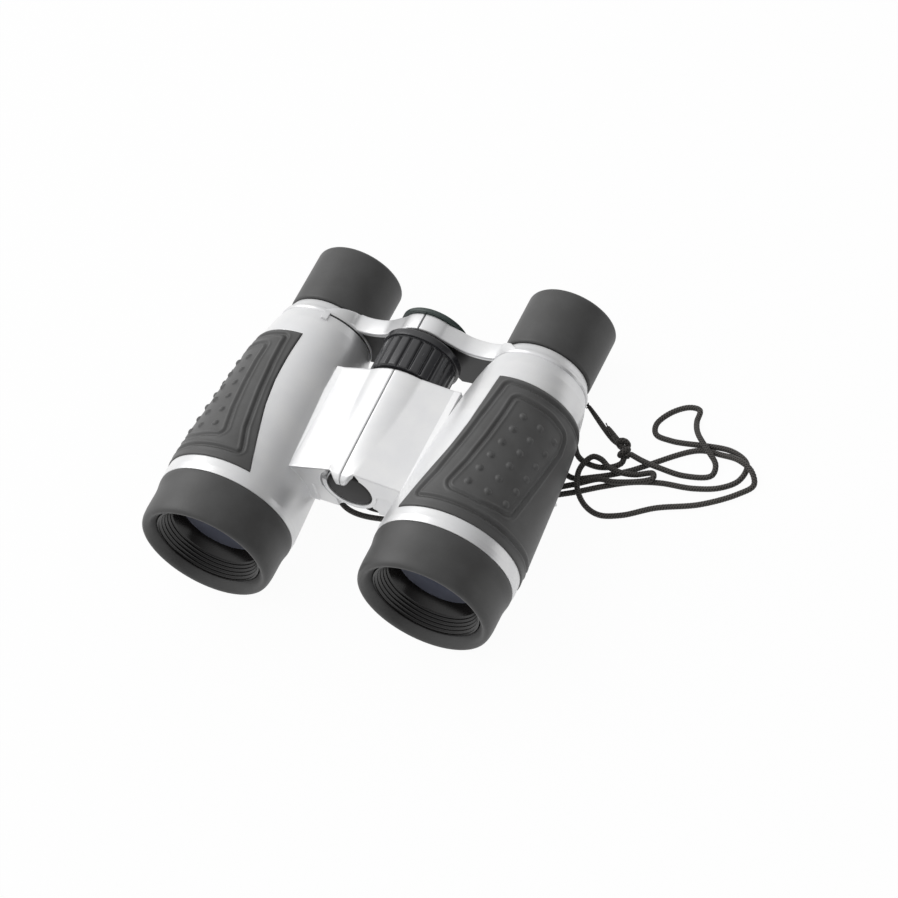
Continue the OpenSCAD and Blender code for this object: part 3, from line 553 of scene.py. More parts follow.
# Threads at the end of each tail: how many, and how they part
TAIL_FRAY = (9, 2)
TAIL_THINNING = 0.3
TAIL_END_STEPS = 5
FRAY_SEED = 7
FRAY_POINTS = 7
FRAY_LENGTH = 1.6
FRAY_LENGTH_SHARES = (0.55, 1)
FRAY_R = 0.11
FRAY_ROOT = 0.4
FRAY_SPREAD = 0.3
FRAY_RISE = 0.5
FRAY_WANDER = 0.25
FRAY_WANDER_SHARES = (1, 1, 0.3)


def loose_thread(line, way, rng):
    """A thread that leaves a tail's end and bends away from it, no lower than the table."""
    spread = rng.normal(0, FRAY_SPREAD, 3)
    spread[2] = abs(spread[2]) * FRAY_RISE
    t = np.linspace(0, 1, FRAY_POINTS)[:, None]
    length = FRAY_LENGTH * rng.uniform(*FRAY_LENGTH_SHARES)
    thread = line[-1] - FRAY_ROOT * way + t * way * length + t ** 2 * spread
    thread += t * FRAY_WANDER * rng.normal(0, 1, 3) * FRAY_WANDER_SHARES
    thread[:, 2] = np.maximum(thread[:, 2], FRAY_R)
    return thread


def tail_tubes():
    """Two bare tails, thinner towards the end, with loose threads at the tips."""
    rng = np.random.default_rng(FRAY_SEED)
    tubes = []
    for route, threads in zip(ROUTE_TAILS, TAIL_FRAY):
        line = smooth_line(route, BRAID_STEP)
        share = np.linspace(0, 1, len(line))
        tubes.append((line, CORD_D / 2 * (1 - TAIL_THINNING * share ** 4), False))
        way = line[-1] - line[-1 - TAIL_END_STEPS]
        way /= np.linalg.norm(way)
        for _ in range(threads):
            thread = loose_thread(line, way, rng)
            tubes.append((thread, np.full(FRAY_POINTS, FRAY_R + BRAID_DEPTH / 2), False))
    return tubes


finish_nodes()
knot = stand_for(yarn_mesh("neck_cord_knot", knot_tubes()), "cord_knot", "right_half")
tails = stand_for(yarn_mesh("neck_cord_tails", tail_tubes()), "cord_tails", "right_half")
right_end, right_line = cord_stretch("neck_cord_right_end", ROUTE_RIGHT_END)
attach(right_end, "right_half")
declare_cord(right_line, ["cord_right_end"])
left_end, left_line = cord_stretch("neck_cord_left_end", ROUTE_LEFT_END)
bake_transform(left_end)
declare_cord(left_line, ["cord_left_end"])
loop, loop_line = cord_stretch("neck_cord_loop", ROUTE_LOOP)
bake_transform(loop)
declare_cord(loop_line, ["cord_loop"])


# Hood over each objective end, with its round lip and the bead at its rear, as (radius, y)
HOOD_OPEN_R = 16.0
HOOD_R = 20.1
HOOD_L = 12.4
HOOD_LIP = ((HOOD_OPEN_R, 2.2), (HOOD_OPEN_R + 0.15, 1.0), (16.8, -0.3), (17.7, -1.4), (18.6, -1.8),
            (19.4, -1.35), (19.85, -0.3), (20.03, 1.0))
BEAD_R = 20.6
BEAD_EDGE = 0.35
HOOD_FLARE = ((HOOD_R, 2.2), (HOOD_R, 7.2), (HOOD_R + 0.08, 8.6), (BEAD_R - 0.2, 10), (BEAD_R, 11.2),
              (BEAD_R, HOOD_L - 0.5))
LIP_STEP = 0.3
FLARE_STEP = 0.5
SPIGOT_R = 18.4
HOOD_WALL_Y = 2.6


def hood(side, sign):
    lip, flare = smooth_line(HOOD_LIP, LIP_STEP), smooth_line(HOOD_FLARE, FLARE_STEP)
    edge = arc(BEAD_R - BEAD_EDGE, HOOD_L - BEAD_EDGE, BEAD_EDGE, 0, 90, 5)
    inner = [(SPIGOT_R, HOOD_L), (SPIGOT_R, HOOD_WALL_Y), (HOOD_OPEN_R, HOOD_WALL_Y)]
    outline = [*map(tuple, lip), *map(tuple, flare), *edge, *inner]
    made = lathe(f"{side}_objective_hood", outline, sign * HALF_X, 0, HOOD_RUBBER)
    return stand_for(made, f"{side}_hood", f"{side}_half")


# Ribbed ring behind the hood's mouth: each rib has a round crest and the rings step inwards
BAFFLE_Y0 = 0.8
BAFFLE_RIBS = 5
RIB_STEPS = 10
BAFFLE_R0 = 15.8
BAFFLE_R1 = 13.7
RIB_END = 5.6
RIB_H = 0.42
BAFFLE_OUT_R = 16.9
BAFFLE_WALL = 0.05
BAFFLE_GAP = 0.2
LENS_Y = 9.2
LENS_VIEW_R = 12.2


def baffle(side, sign):
    ribs = []
    steps = RIB_STEPS * BAFFLE_RIBS
    for k in range(steps + 1):
        share = k / steps
        crest = (0.5 + 0.5 * math.cos(2 * math.pi * BAFFLE_RIBS * share)) ** 2
        ribs.append((BAFFLE_R0 + (BAFFLE_R1 - BAFFLE_R0) * share - RIB_H * crest,
                     BAFFLE_Y0 + (RIB_END - BAFFLE_Y0) * share))
    wall_r, ledge_y = BAFFLE_R0 + BAFFLE_WALL, HOOD_WALL_Y + BAFFLE_GAP
    outline = ribs + [(LENS_VIEW_R, LENS_Y), (BAFFLE_OUT_R, LENS_Y), (BAFFLE_OUT_R, ledge_y),
                      (wall_r, ledge_y), (wall_r, BAFFLE_Y0)]
    made = lathe(f"{side}_ribbed_baffle", outline, sign * HALF_X, 0, RIB_BLACK)
    return stand_for(made, f"{side}_baffle", f"{side}_half")


# Rubber cup round each eyepiece, with a round rim
CUP_R = 13.5
CUP_OPEN_R = 10.9
CUP_Y0 = 81.5
CUP_Y1 = 101.5
CUP_EDGE = 0.9
CUP_FLOOR_Y = 93.2
CUP_SEAT_R = 11.9


def eyecup(side, sign):
    rim = (CUP_R - CUP_OPEN_R) / 2
    outline = ([(CUP_SEAT_R, CUP_Y0)] + arc(CUP_R - CUP_EDGE, CUP_Y0 + CUP_EDGE, CUP_EDGE, -90, 0, 8)
               + arc(CUP_R - rim, CUP_Y1 - rim, rim, 0, 180, 18)
               + [(CUP_OPEN_R, CUP_FLOOR_Y), (CUP_SEAT_R, CUP_FLOOR_Y)])
    made = lathe(f"{side}_rubber_eyecup", outline, sign * HALF_X, 0, HOOD_RUBBER)
    return stand_for(made, f"{side}_eyecup", f"{side}_eyepiece")


# Disc in the bridge's front ring, the domed cap behind the arms and the wheel between them,
# with outlines as (radius, y, corner radius)
DISC_R = 6.9
DISC_Y1 = 27.2
DISC_FACE = [(0, 26.22), (5.6, 26.24), (6.3, 26.32), (6.7, 26.5), (DISC_R, 26.8)]
SLEEVE_R = 4.05
SLEEVE_Y1 = 84.65
CAP_R = 10.4
CAP_Y0 = 82.9
CAP_Y1 = 86.25
CAP_EDGE = [(SLEEVE_R, CAP_Y0), (CAP_R, CAP_Y0, 0.25), (CAP_R, CAP_Y0 + 1.3, 0.35),
            (9.85, CAP_Y0 + 1.45, 0.15)]
DOME_R = 9.5
DOME_Y0 = CAP_Y0 + 1.15
DOME_TURNS = (8, 90)
DOME_POINTS = 16
WHEEL_R = 11.25
WHEEL_Y0 = 62.6
WHEEL_Y1 = 73.0
FLANGE_R = 11.85
FLANGE_Y1 = 75.3
WHEEL_OUTLINE = [(SLEEVE_R, WHEEL_Y0), (WHEEL_R, WHEEL_Y0, 0.55), (WHEEL_R, WHEEL_Y1 - 0.4, 0.1),
                 (WHEEL_R - 0.35, WHEEL_Y1, 0.1), (FLANGE_R, WHEEL_Y1 + 0.1, 0.25),
                 (FLANGE_R, FLANGE_Y1, 0.5), (SLEEVE_R, FLANGE_Y1)]
FLUTES = 20
FLUTE_POINTS = 18
FLUTE_DEPTH = 0.7
FLUTE_FADE = 1.0
FLUTE_TURN = 1.2
FLUTE_NARROWNESS = 7
FLUTE_END_Y = WHEEL_Y1 - 0.3


def front_disc():
    made = lathe("hinge_front_disc", DISC_FACE + [(DISC_R, DISC_Y1), (0, DISC_Y1)], 0, HINGE_H, DISC_BLACK)
    return stand_for(made, "pin_disc", "right_half")


def domed_cap():
    dome = [(DOME_R * math.cos(a), DOME_Y0 + (CAP_Y1 - DOME_Y0) * math.sin(a))
            for a in np.radians(np.linspace(*DOME_TURNS, DOME_POINTS))]
    dome[-1] = (0, CAP_Y1)
    outline = rounded(CAP_EDGE) + dome + [(0, SLEEVE_Y1), (SLEEVE_R, SLEEVE_Y1)]
    made = lathe("domed_rear_cap", outline, 0, HINGE_H, CAP_BLACK)
    return stand_for(made, "rear_cap", "right_eyepiece")


def flute_radius(radius, y, turn):
    """Flat-crowned flutes with narrow grooves, which fade at the wheel's edges."""
    if y > FLUTE_END_Y:
        return radius
    fade = min(1.0, max(0.0, (radius - WHEEL_R + FLUTE_FADE) / FLUTE_FADE))
    groove = (0.5 + 0.5 * math.cos(FLUTES * turn + FLUTE_TURN)) ** FLUTE_NARROWNESS
    return radius - FLUTE_DEPTH * groove * fade


def fluted_wheel():
    made = lathe("fluted_focus_wheel", rounded(WHEEL_OUTLINE, 6), 0, HINGE_H, GLOSS_BLACK,
                 FLUTES * FLUTE_POINTS, flute_radius)
    return stand_for(made, "focus_wheel", "focus_wheel")


# Grips: rubber panels let into the barrels, grooved round a field of nubs. They follow the
# barrels' outline
BAND_R = 20.8
BARREL_Y = (14.5, 53, 61, 69, 73.2)
BARREL_R = (20.8, 18.3, 17.46, 16.3, 15.46)
GRIP_Y0 = 17.3
GRIP_Y1 = 66.3
GRIP_PROUD = 0.4
GRIP_SINK = 0.7
GRIP_EDGE = 0.45
GRIP_ROWS = 232
GRIP_COLS = 248
GRIP_UNDER = 8
# About how far a grip reaches round its barrel, and where its points lie beside each edge
GRIP_WIDTH = 52
GRIP_EDGE_PLACES = (0, 0.05, 0.14, 0.26, 0.4)
# The grip's inner and low edges, as (share of its length, share of the band's radius)
INNER_EDGE_SHARES = ((0, -0.54), (0.14, -0.45), (0.28, -0.36), (0.45, -0.255), (0.63, -0.185),
                     (0.82, -0.155), (1, -0.145))
LOW_EDGE_SHARES = ((0, -0.7), (1, -0.66))
EDGE_STEP = 0.01
# Groove lines as (y, degrees from outwards to the top, corner radius)
OUTER_GROOVE = [(21, 110.5, 1.2), (24.5, 107.8), (29.7, 103), (37.3, 99), (44, 95.6), (51.5, 92.9),
                (58.1, 90.4), (64.3, 88.8, 2.2), (64.3, 20), (63.6, -43, 2.5), (40, -38), (21.6, -34, 2.5),
                (20.9, 20), (20.9, 70)]
INNER_GROOVE = [(25, 90, 2.2), (35, 83), (44.8, 78.4), (54.7, 75.5), (60.4, 74.6, 2.2), (60.1, 38),
                (58.8, 15, 2.6), (53.3, 13.6), (39.8, 23.1), (25.6, 32, 2.6), (24.2, 60)]
OUTER_GROOVE_DEPTH = 0.55
INNER_GROOVE_DEPTH = 0.46
GROOVE_W = 0.44
RIDGE_H = 0.2
RIDGE_AT = 1.0
RIDGE_W = 0.34
BAND_LIFT = 0.16
BAND_EASE = 1.4
FIELD_SINK = 0.7 * BAND_LIFT
FIELD_EASE = 1.6
NUB_R = 1.0
NUB_H = 0.62
NUB_BLUNTNESS = 0.6
NUB_ROWS = 6
# Degrees from outwards to the top at each column's rear and front end
NUB_COLUMNS = ((60, 74.8), (42.5, 57.6), (24.2, 40.4))
NUB_Y = (28.9, 55.0)
NUB_STAGGER = 0.35
FAR_AWAY = 1e9


def line_distance(line, along, round_run):
    """Distance from each place of a grid to a closed line, and whether it lies inside."""
    away = np.full(along.shape, FAR_AWAY)
    inside = np.zeros(along.shape, bool)
    for (y0, s0), (y1, s1) in zip(line, line[1:] + line[:1]):
        dy, ds = y1 - y0, s1 - s0
        size = dy * dy + ds * ds
        if not size:
            continue
        share = np.clip(((along - y0) * dy + (round_run - s0) * ds) / size, 0, 1)
        away = np.minimum(away, np.hypot(along - y0 - share * dy, round_run - s0 - share * ds))
        if ds:
            crosses = (round_run < s0) != (round_run < s1)
            inside ^= crosses & (along < y0 + (round_run - s0) * dy / ds)
    return away, inside


def run_of(y, angle):
    """Length round the barrel from straight outwards to an angle."""
    return np.radians(angle) * np.interp(y, BARREL_Y, BARREL_R)


def groove_line(corners):
    """A groove's line, rolled flat, with its corners eased."""
    return rounded([(c[0], run_of(c[0], c[1]), *c[2:]) for c in corners], 6)


def grip_height(along, angle, edge_away):
    """Height of the rubber above the silver at each place."""
    around = run_of(along, angle)
    height = np.full(along.shape, GRIP_PROUD)
    near = np.clip(GRIP_EDGE - edge_away, 0, GRIP_EDGE)
    height -= GRIP_EDGE - np.sqrt(GRIP_EDGE ** 2 - near ** 2)
    outer_away, in_outer = line_distance(groove_line(OUTER_GROOVE), along, around)
    inner_away, in_inner = line_distance(groove_line(INNER_GROOVE), along, around)
    height += BAND_LIFT * np.where(in_outer, 1 - np.exp(-(outer_away / BAND_EASE) ** 2), 0)
    height -= FIELD_SINK * np.where(in_inner, 1 - np.exp(-(inner_away / FIELD_EASE) ** 2), 0)
    height -= OUTER_GROOVE_DEPTH * np.exp(-(outer_away / GROOVE_W) ** 2)
    height -= INNER_GROOVE_DEPTH * np.exp(-(inner_away / GROOVE_W) ** 2)
    for away in (outer_away, inner_away):
        height += RIDGE_H * np.exp(-((away - RIDGE_AT) / RIDGE_W) ** 2)
    for column, (rear, front) in enumerate(NUB_COLUMNS):
        for row in range(NUB_ROWS):
            share = row / (NUB_ROWS - 1)
            y = NUB_Y[0] + (NUB_Y[1] - NUB_Y[0]) * share - column * NUB_STAGGER
            run = run_of(y, front + (rear - front) * share)
            away = np.hypot(along - y, around - run) / NUB_R
            height += NUB_H * np.clip(1 - away ** 2, 0, 1) ** NUB_BLUNTNESS
    return height


def edge_spaced(count, length):
    """Shares from 0 to 1, closer where the rubber's edge is round."""
    edge = np.array(GRIP_EDGE_PLACES) / length
    middle = np.linspace(edge[-1], 1 - edge[-1], count - 2 * (len(edge) - 1))
    return np.concatenate([edge[:-1], middle, 1 - edge[-2::-1]])


def panel_faces(n, m, k):
    """Faces of a closed panel: n rows of m points on top, n rows of k beneath and the walls round them."""
    base = n * m
    faces = [(i * m + j, i * m + j + 1, (i + 1) * m + j + 1, (i + 1) * m + j)
             for i in range(n - 1) for j in range(m - 1)]
    faces += [(base + i * k + j, base + (i + 1) * k + j, base + (i + 1) * k + j + 1, base + i * k + j + 1)
              for i in range(n - 1) for j in range(k - 1)]
    for i in range(n - 1):
        over, under = i * m, base + i * k
        faces.append((over, over + m, under + k, under))
        over, under = over + m - 1, under + k - 1
        faces.append((over, under, under + k, over + m))
    step = (m - 1) // (k - 1)
    for row in (0, n - 1):
        for j in range(k - 1):
            over = [row * m + step * j + q for q in range(step + 1)]
            faces.append(tuple(over + [base + row * k + j + 1, base + row * k + j]))
    return faces


def rubber_grip(side, sign):
    shares = edge_spaced(GRIP_ROWS + 1, GRIP_Y1 - GRIP_Y0)
    along = GRIP_Y0 + (GRIP_Y1 - GRIP_Y0) * shares
    radius = np.interp(along, BARREL_Y, BARREL_R)
    edge = smooth_line(INNER_EDGE_SHARES, EDGE_STEP)
    inner_x = np.interp(shares, edge[:, 0], edge[:, 1]) * BAND_R
    low_z = np.interp(shares, *zip(*LOW_EDGE_SHARES)) * BAND_R
    inner = np.degrees(np.arccos(inner_x / radius))[:, None]
    low = np.degrees(np.arcsin(low_z / radius))[:, None]
    angle = low + (inner - low) * edge_spaced(GRIP_COLS + 1, GRIP_WIDTH)[None]
    y = np.repeat(along[:, None], GRIP_COLS + 1, axis=1)
    wide = radius[:, None]
    edge_away = np.minimum(np.minimum(y - GRIP_Y0, GRIP_Y1 - y),
                           np.radians(np.minimum(angle - low, inner - angle)) * wide)
    top = wide + grip_height(y, angle, edge_away)
    under = np.broadcast_to(wide - GRIP_SINK, top.shape)
    points = []
    for reach, step in ((top, 1), (under, GRIP_UNDER)):
        turn = np.radians(angle[:, ::step])
        points.append(np.stack([sign * (HALF_X + reach[:, ::step] * np.cos(turn)), y[:, ::step],
                                reach[:, ::step] * np.sin(turn)], axis=-1).reshape(-1, 3))
    faces = panel_faces(GRIP_ROWS + 1, GRIP_COLS + 1, GRIP_COLS // GRIP_UNDER + 1)
    made = add_mesh(f"{side}_rubber_grip", np.concatenate(points), faces, GRIP_RUBBER, sharp=60)
    return stand_for(made, f"{side}_grip", f"{side}_half")


# Bridge tops: each half is one smooth shell from the seam over the crease to the barrel,
# with a lobe that reaches over the front ring. Crest and crease have a size in front and one behind
WEB_Y0 = 26.1
WEB_Y1 = 62.0
CREST = (13.4, 15.2)
CREST_POWER = 0.8
CREASE = (3.9, 8.0)
CREASE_EASE = 0.45
PLANE_X = 17.7
PLANE_H = 10.6
PLANE_SLOPE = 0.223
SEAM_HALF = 0.12
SEAM_ROUND = 0.2
CAP_OUT_X = 18.1
CAP_OUT_DROP = 0.12
CAP_FLOAT = 0.04
CAP_SKIN = 0.35
CAP_ROUND = 0.3
# The solid block round the hinge's knuckles, under the thin top
CAP_BLOCK_X = 8.0
CAP_BLOCK_Y0 = WEB_Y0 + 1.4
CAP_BLOCK_T = 3
KNUCKLE_R = 7.6
LOBE_L = 2.3
LOBE_T = 0.85
LOBE_TIP_W = 1.9
LOBE_TIP_L = 0.9
LOBE_TIP_SHARE = 0.55
LOBE_ROOT_W = 3.75
LOBE_WIDTH_POWER = 1.4
LOBE_DROP = 1.5
LOBE_DROP_POWER = 1.7
LOBE_ROUND = 0.5
LOBE_ROWS = 14
LOBE_ROW_POWER = 1.5
LOBE_COLS = 20
LOBE_COL_POWER = 0.9
WEB_ROWS = 60
WEB_COLS = 56
WEB_EDGE_SHARES = np.array((0, 0.003, 0.008))
WEB_MIDDLE_SHARES = (0.015, 0.985)
OUT_EDGE_SHARE = 0.997


def cap_crown(x, y):
    """Height of the bridge's top: a dome beside the seam, easing into the sloping plane."""
    back = np.clip((y - WEB_Y0) / (WEB_Y1 - WEB_Y0), 0, 1)
    front = np.clip((WEB_Y0 - y) / LOBE_L, 0, 1)
    crest = CREST[0] + (CREST[1] - CREST[0]) * back ** CREST_POWER
    crease = CREASE[0] + (CREASE[1] - CREASE[0]) * np.sin(np.pi / 2 * back)
    foot = PLANE_H + (PLANE_X - crease) * PLANE_SLOPE

    def level(across):
        dome = crest - (crest - foot) * np.clip(np.abs(across) / crease, 0, 1) ** 2
        plane = PLANE_H + (PLANE_X - across) * PLANE_SLOPE
        return np.where(across < crease, dome, plane)

    soft = (level(x - CREASE_EASE) + 2 * level(x) + level(x + CREASE_EASE)) / 4
    return soft - LOBE_DROP * front ** LOBE_DROP_POWER


def edge_drop(away, radius):
    """How far a round edge lies below the flat at each distance from its rim."""
    near = np.clip(radius - away, 0, radius)
    return radius - np.sqrt(radius ** 2 - near ** 2)


def cap_grid():
    """Places x and y over one half's top, row by row, and the lobe's width in each row."""
    lobe_y = WEB_Y0 - LOBE_L * (1 - np.linspace(0, 1, LOBE_ROWS + 1)[:-1] ** LOBE_ROW_POWER)
    middle = np.linspace(*WEB_MIDDLE_SHARES, WEB_ROWS - 2 * len(WEB_EDGE_SHARES) + 1)
    web_shares = np.concatenate([WEB_EDGE_SHARES, middle, 1 - WEB_EDGE_SHARES[::-1]])
    y = np.concatenate([lobe_y, WEB_Y0 + (WEB_Y1 - WEB_Y0) * web_shares])
    from_tip = y - WEB_Y0 + LOBE_L
    width = np.clip(from_tip / LOBE_L, 0, 1) ** LOBE_WIDTH_POWER
    width = LOBE_TIP_W + (LOBE_ROOT_W - LOBE_TIP_W) * width
    tip = np.clip(from_tip / LOBE_TIP_L, 0, 1)
    width *= LOBE_TIP_SHARE + (1 - LOBE_TIP_SHARE) * np.sqrt(1 - (1 - tip) ** 2)
    width = width[:, None]
    near = SEAM_HALF + (width - SEAM_HALF) * np.linspace(0, 1, LOBE_COLS + 1)[None] ** LOBE_COL_POWER
    far = np.concatenate([np.linspace(0, OUT_EDGE_SHARE, WEB_COLS)[1:], [1]])
    beyond = LOBE_ROOT_W + (CAP_OUT_X - LOBE_ROOT_W) * far
    x = np.concatenate([near, np.repeat(beyond[None], len(y), axis=0)], axis=1)
    return x, np.repeat(y[:, None], x.shape[1], axis=1), width


def cap_levels(x, y, width):
    """Heights of the shell's top, with its edges eased, and of its underside."""
    on_lobe = y < WEB_Y0
    top = cap_crown(x, y) + CAP_FLOAT
    side_away = np.where(on_lobe, width - x, FAR_AWAY)
    tip_away = np.where(on_lobe, y - WEB_Y0 + LOBE_L, FAR_AWAY)
    top -= edge_drop(np.minimum(side_away, tip_away), LOBE_ROUND)
    front_away = np.hypot(y - WEB_Y0, np.maximum(LOBE_ROOT_W - x, 0))
    top -= np.where(on_lobe, 0, edge_drop(front_away, CAP_ROUND))
    top -= edge_drop(WEB_Y1 - y, CAP_ROUND) + edge_drop(x - SEAM_HALF, SEAM_ROUND)
    top[:, -1] -= CAP_OUT_DROP
    arch = HINGE_H + np.sqrt(np.clip(KNUCKLE_R ** 2 - x ** 2, 0, None))
    block = np.minimum(np.maximum(arch, top - CAP_BLOCK_T), top - CAP_SKIN)
    under = np.where((x < CAP_BLOCK_X) & (y > CAP_BLOCK_Y0), block, top - CAP_SKIN)
    by_lobe = on_lobe | ((x < LOBE_ROOT_W) & (y <= CAP_BLOCK_Y0))
    return top, np.where(by_lobe, top - LOBE_T, under)


def shell_faces(shown, cols, base):
    """Faces of a top and its underside where shown holds, with a wall along their rim."""
    faces, rims = [], {}
    for i, j in np.argwhere(shown):
        a, b, c, d = (i * cols + j, i * cols + j + 1, (i + 1) * cols + j + 1, (i + 1) * cols + j)
        faces += [(a, b, c, d), (base + d, base + c, base + b, base + a)]
        for p, q in ((a, b), (b, c), (c, d), (d, a)):
            if (q, p) in rims:
                del rims[(q, p)]
            else:
                rims[(p, q)] = (q, p, base + p, base + q)
    return faces + list(rims.values())


def prune(piece):
    """Removes points that no face uses."""
    work = bmesh.new()
    work.from_mesh(piece.data)
    bmesh.ops.delete(work, geom=[v for v in work.verts if not v.link_faces], context="VERTS")
    work.to_mesh(piece.data)
    work.free()


def bridge_top(side, sign):
    x, y, width = cap_grid()
    rows, cols = x.shape
    points = np.concatenate([np.stack([sign * x, y, level], axis=-1).reshape(-1, 3)
                             for level in cap_levels(x, y, width)])
    shown = np.ones((rows - 1, cols - 1), bool)
    shown[:LOBE_ROWS, LOBE_COLS:] = False
    faces = shell_faces(shown, cols, rows * cols)
    made = add_mesh(f"{side}_bridge_top", points, faces, SILVER, sharp=50)
    prune(made)
    return stand_for(made, f"{side}_bridge_cap", f"{side}_half")


# Silver strips over the arms, from the seam on the hub along each arm and onto the eyepiece's ring
ARM_Y0 = 77.25
ARM_ROUND = 0.5
ARM_UNDER_ROUND = 0.15
ARM_SEAM = 0.3
ARM_STEP = 0.35
COVER_T = 1.35
HUB_R = 9.55
HUB_END_TURN = 46
ARM_PLACES = ((11.17, 9.3), (13.6, 8.07), (16.6, 7.4), (20.07, 7.3), (23.0, 8.05))
ARM_RING_R = 14.5
ARM_RING_TURN = (42, 73)
# Degrees round the ring, from straight inwards over the top, and the strip's rear edge there
ARM_REAR = ((30, 50, 60, 73), (82.85, 81.35, 80.4, 78.4))


def arm_strip(side, sign):
    first = 90 - math.degrees(math.asin(ARM_SEAM / HUB_R))
    on_ring = [(HALF_X - ARM_RING_R * math.cos(turn), ARM_RING_R * math.sin(turn))
               for turn in np.radians(np.linspace(*ARM_RING_TURN, 5))]
    on_hub = arc(0, HINGE_H, HUB_R, first, HUB_END_TURN, 8)
    line = smooth_line([*on_hub, *ARM_PLACES, *on_ring], ARM_STEP)
    ways = np.gradient(line, axis=0)
    ways /= np.linalg.norm(ways, axis=1)[:, None]
    out = np.stack([-ways[:, 1], ways[:, 0]], axis=1)
    turns = np.degrees(np.arctan2(line[:, 1], HALF_X - line[:, 0]))
    turns[line[:, 0] < ARM_PLACES[-1][0]] = 0
    rear = np.interp(turns, *ARM_REAR)
    points = []
    for place, o, y1 in zip(line, out, rear):
        section = rounded([(0, ARM_Y0, ARM_ROUND), (0, y1, ARM_ROUND), (-COVER_T, y1, ARM_UNDER_ROUND),
                           (-COVER_T, ARM_Y0, ARM_UNDER_ROUND)])
        points += [(sign * (place[0] + o[0] * t), y, place[1] + o[1] * t) for t, y in section]
    made = add_mesh(f"{side}_arm_strip", points, sweep_faces(len(line), len(section)), SILVER, sharp=50)
    return stand_for(made, f"{side}_arm_cover", f"{side}_eyepiece")


# Round lip where each eyepiece ring meets its barrel, and at the end of the left arm a black rim
# along the ring and a silver hook, with outlines as (radius, y, corner radius). The black rim is partly
# the arm plate's black edge and partly painted shade: a dark sheet over the shadowed gap at the
# barrel's end and over the shaded recess beside the wheel.
LIP_OUTLINE = [(13.9, 76.85), (14.42, 76.75, 0.15), (14.62, 77.5, 0.3), (14.3, 78.4), (13.9, 78.4)]
# The rim turns down past the wheel's side so that its black covers the shaded recess there, as painted
# shade.
RIM_AND_GAP_SHADE_TURN = (-24, 68)
RIM_AND_GAP_SHADE_STEPS = 50
RIM_AND_GAP_SHADE_SECTION = [(13.9, 76.55), (14.5, 76.5, 0.15), (14.5, 77.3), (13.9, 77.3)]
HOOK_TURN = (66, 73)
HOOK_STEPS = 8
HOOK_SECTION = [(14.3, 74.3), (15.75, 74.3, 0.3), (15.35, 76.9, 0.3), (14.1, 77.6)]


def add_to_eyepiece(piece, side):
    """A piece of trim that stands for no node moves with its eyepiece."""
    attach(piece, f"{side}_eyepiece")


def ring_lip(side, sign):
    made = lathe(f"{side}_ring_lip", rounded(LIP_OUTLINE), sign * HALF_X, 0, SILVER_RING)
    add_to_eyepiece(made, side)


def part_ring(name, side, section, turns, steps, material):
    """A section swept part of the way round an eyepiece, from straight inwards over the top."""
    sign = SIDES[side]
    outline = rounded(section)
    points = []
    for turn in np.radians(np.linspace(*turns, steps + 1)):
        points += [(sign * (HALF_X - r * math.cos(turn)), y, r * math.sin(turn)) for r, y in outline]
    made = add_mesh(name, points, sweep_faces(steps + 1, len(outline)), material)
    add_to_eyepiece(made, side)


front_disc()
domed_cap()
# Black rim that is partly the arm plate's edge and partly painted shade over the gap and recess.
part_ring("left_arm_rim_and_gap_shade", "left", RIM_AND_GAP_SHADE_SECTION, RIM_AND_GAP_SHADE_TURN, RIM_AND_GAP_SHADE_STEPS, MATT_BLACK)
part_ring("left_arm_hook", "left", HOOK_SECTION, HOOK_TURN, HOOK_STEPS, SILVER)
fluted_wheel()
for side_name, side_sign in SIDES.items():
    for make in (hood, baffle, eyecup, rubber_grip, bridge_top, arm_strip, ring_lip):
        make(side_name, side_sign)


# Stage: a pale table and soft studio light, in metres
TABLE_HALF = 3.0
TABLE_GREY = (0.82, 0.82, 0.82)
TABLE_ROUGHNESS = 0.9
TABLE_WHITE = 0.96
WALLS_TOWARDS = (-0.7, 0.08, 0.72)
WALLS_RAMP = {"From Min": -0.6, "From Max": 1.0, "To Min": 0.13, "To Max": 1.04}
LAMP_AT = (-0.75, 0.15, 0.75)
LAMP_SIDE = 0.7
LAMP_POWER = 3.5


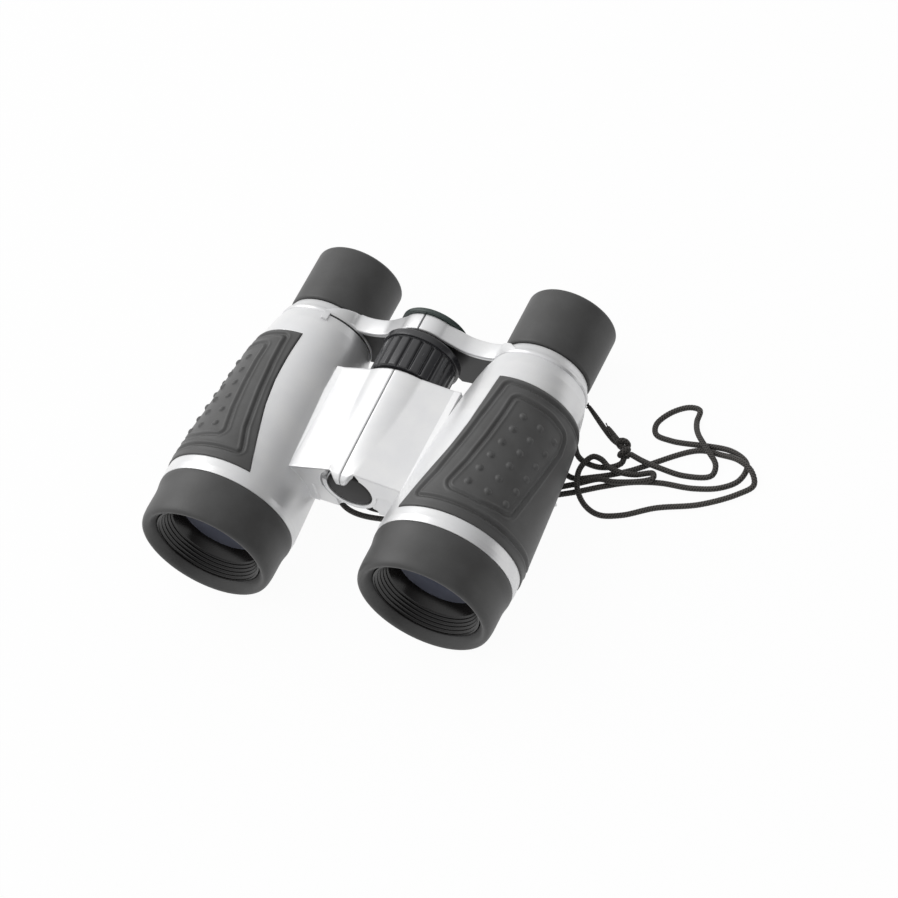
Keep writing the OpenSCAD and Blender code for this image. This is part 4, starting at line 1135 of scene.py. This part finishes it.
def add_table():
    """The table shows as plain white, and keeps the object's shadow."""
    half = TABLE_HALF
    data = bpy.data.meshes.new("table")
    corners = [(-half, -half, 0), (half, -half, 0), (half, half, 0), (-half, half, 0)]
    data.from_pydata(corners, [], [(0, 1, 2, 3)])
    table = bpy.data.objects.new("table", data)
    bpy.context.scene.collection.objects.link(table)
    f = Finish("pale_table")
    f.set(Base_Color=TABLE_GREY, Roughness=TABLE_ROUGHNESS)
    camera, glossy, through = [f.node("ShaderNodeLightPath", out=f"Is {kind} Ray")
                               for kind in ("Camera", "Glossy", "Transmission")]
    seen = camera.math("MAXIMUM", camera, glossy.math("MAXIMUM", glossy, through))
    white = f.node("ShaderNodeEmission", {}, {"Color": (1, 1, 1), "Strength": 1.0})
    lit = Wire(f, f.shader.outputs[0])
    blend = f.node("ShaderNodeMixShader", {}, (seen * TABLE_WHITE, lit, white))
    f.plug(f.nodes["Material Output"].inputs["Surface"], blend)
    data.materials.append(f.material)


def add_lamp():
    """One soft lamp, above and to the left, aimed at the middle of the table."""
    data = bpy.data.lights.new("key", "AREA")
    data.shape = "RECTANGLE"
    data.size = data.size_y = LAMP_SIDE
    data.energy = LAMP_POWER
    lamp = bpy.data.objects.new("key", data)
    bpy.context.scene.collection.objects.link(lamp)
    lamp.location = LAMP_AT
    lamp.rotation_euler = (-Vector(LAMP_AT)).to_track_quat("-Z", "Y").to_euler()


def set_walls():
    """Soft studio walls, brighter towards one direction."""
    world = bpy.data.worlds.new("studio")
    bpy.context.scene.world = world
    world.use_nodes = True
    nodes, links = world.node_tree.nodes, world.node_tree.links
    background = nodes["Background"]
    background.inputs["Color"].default_value = (1, 1, 1, 1)
    spot = nodes.new("ShaderNodeTexCoord")
    dot = nodes.new("ShaderNodeVectorMath")
    dot.operation = "DOT_PRODUCT"
    dot.inputs[1].default_value = Vector(WALLS_TOWARDS).normalized()
    links.new(spot.outputs["Generated"], dot.inputs[0])
    level = nodes.new("ShaderNodeMapRange")
    level.interpolation_type = "SMOOTHSTEP"
    for key, value in WALLS_RAMP.items():
        level.inputs[key].default_value = value
    links.new(dot.outputs["Value"], level.inputs["Value"])
    links.new(level.outputs[0], background.inputs["Strength"])


add_table()
set_walls()
add_lamp()
bpy.context.scene.view_settings.view_transform = "Standard"
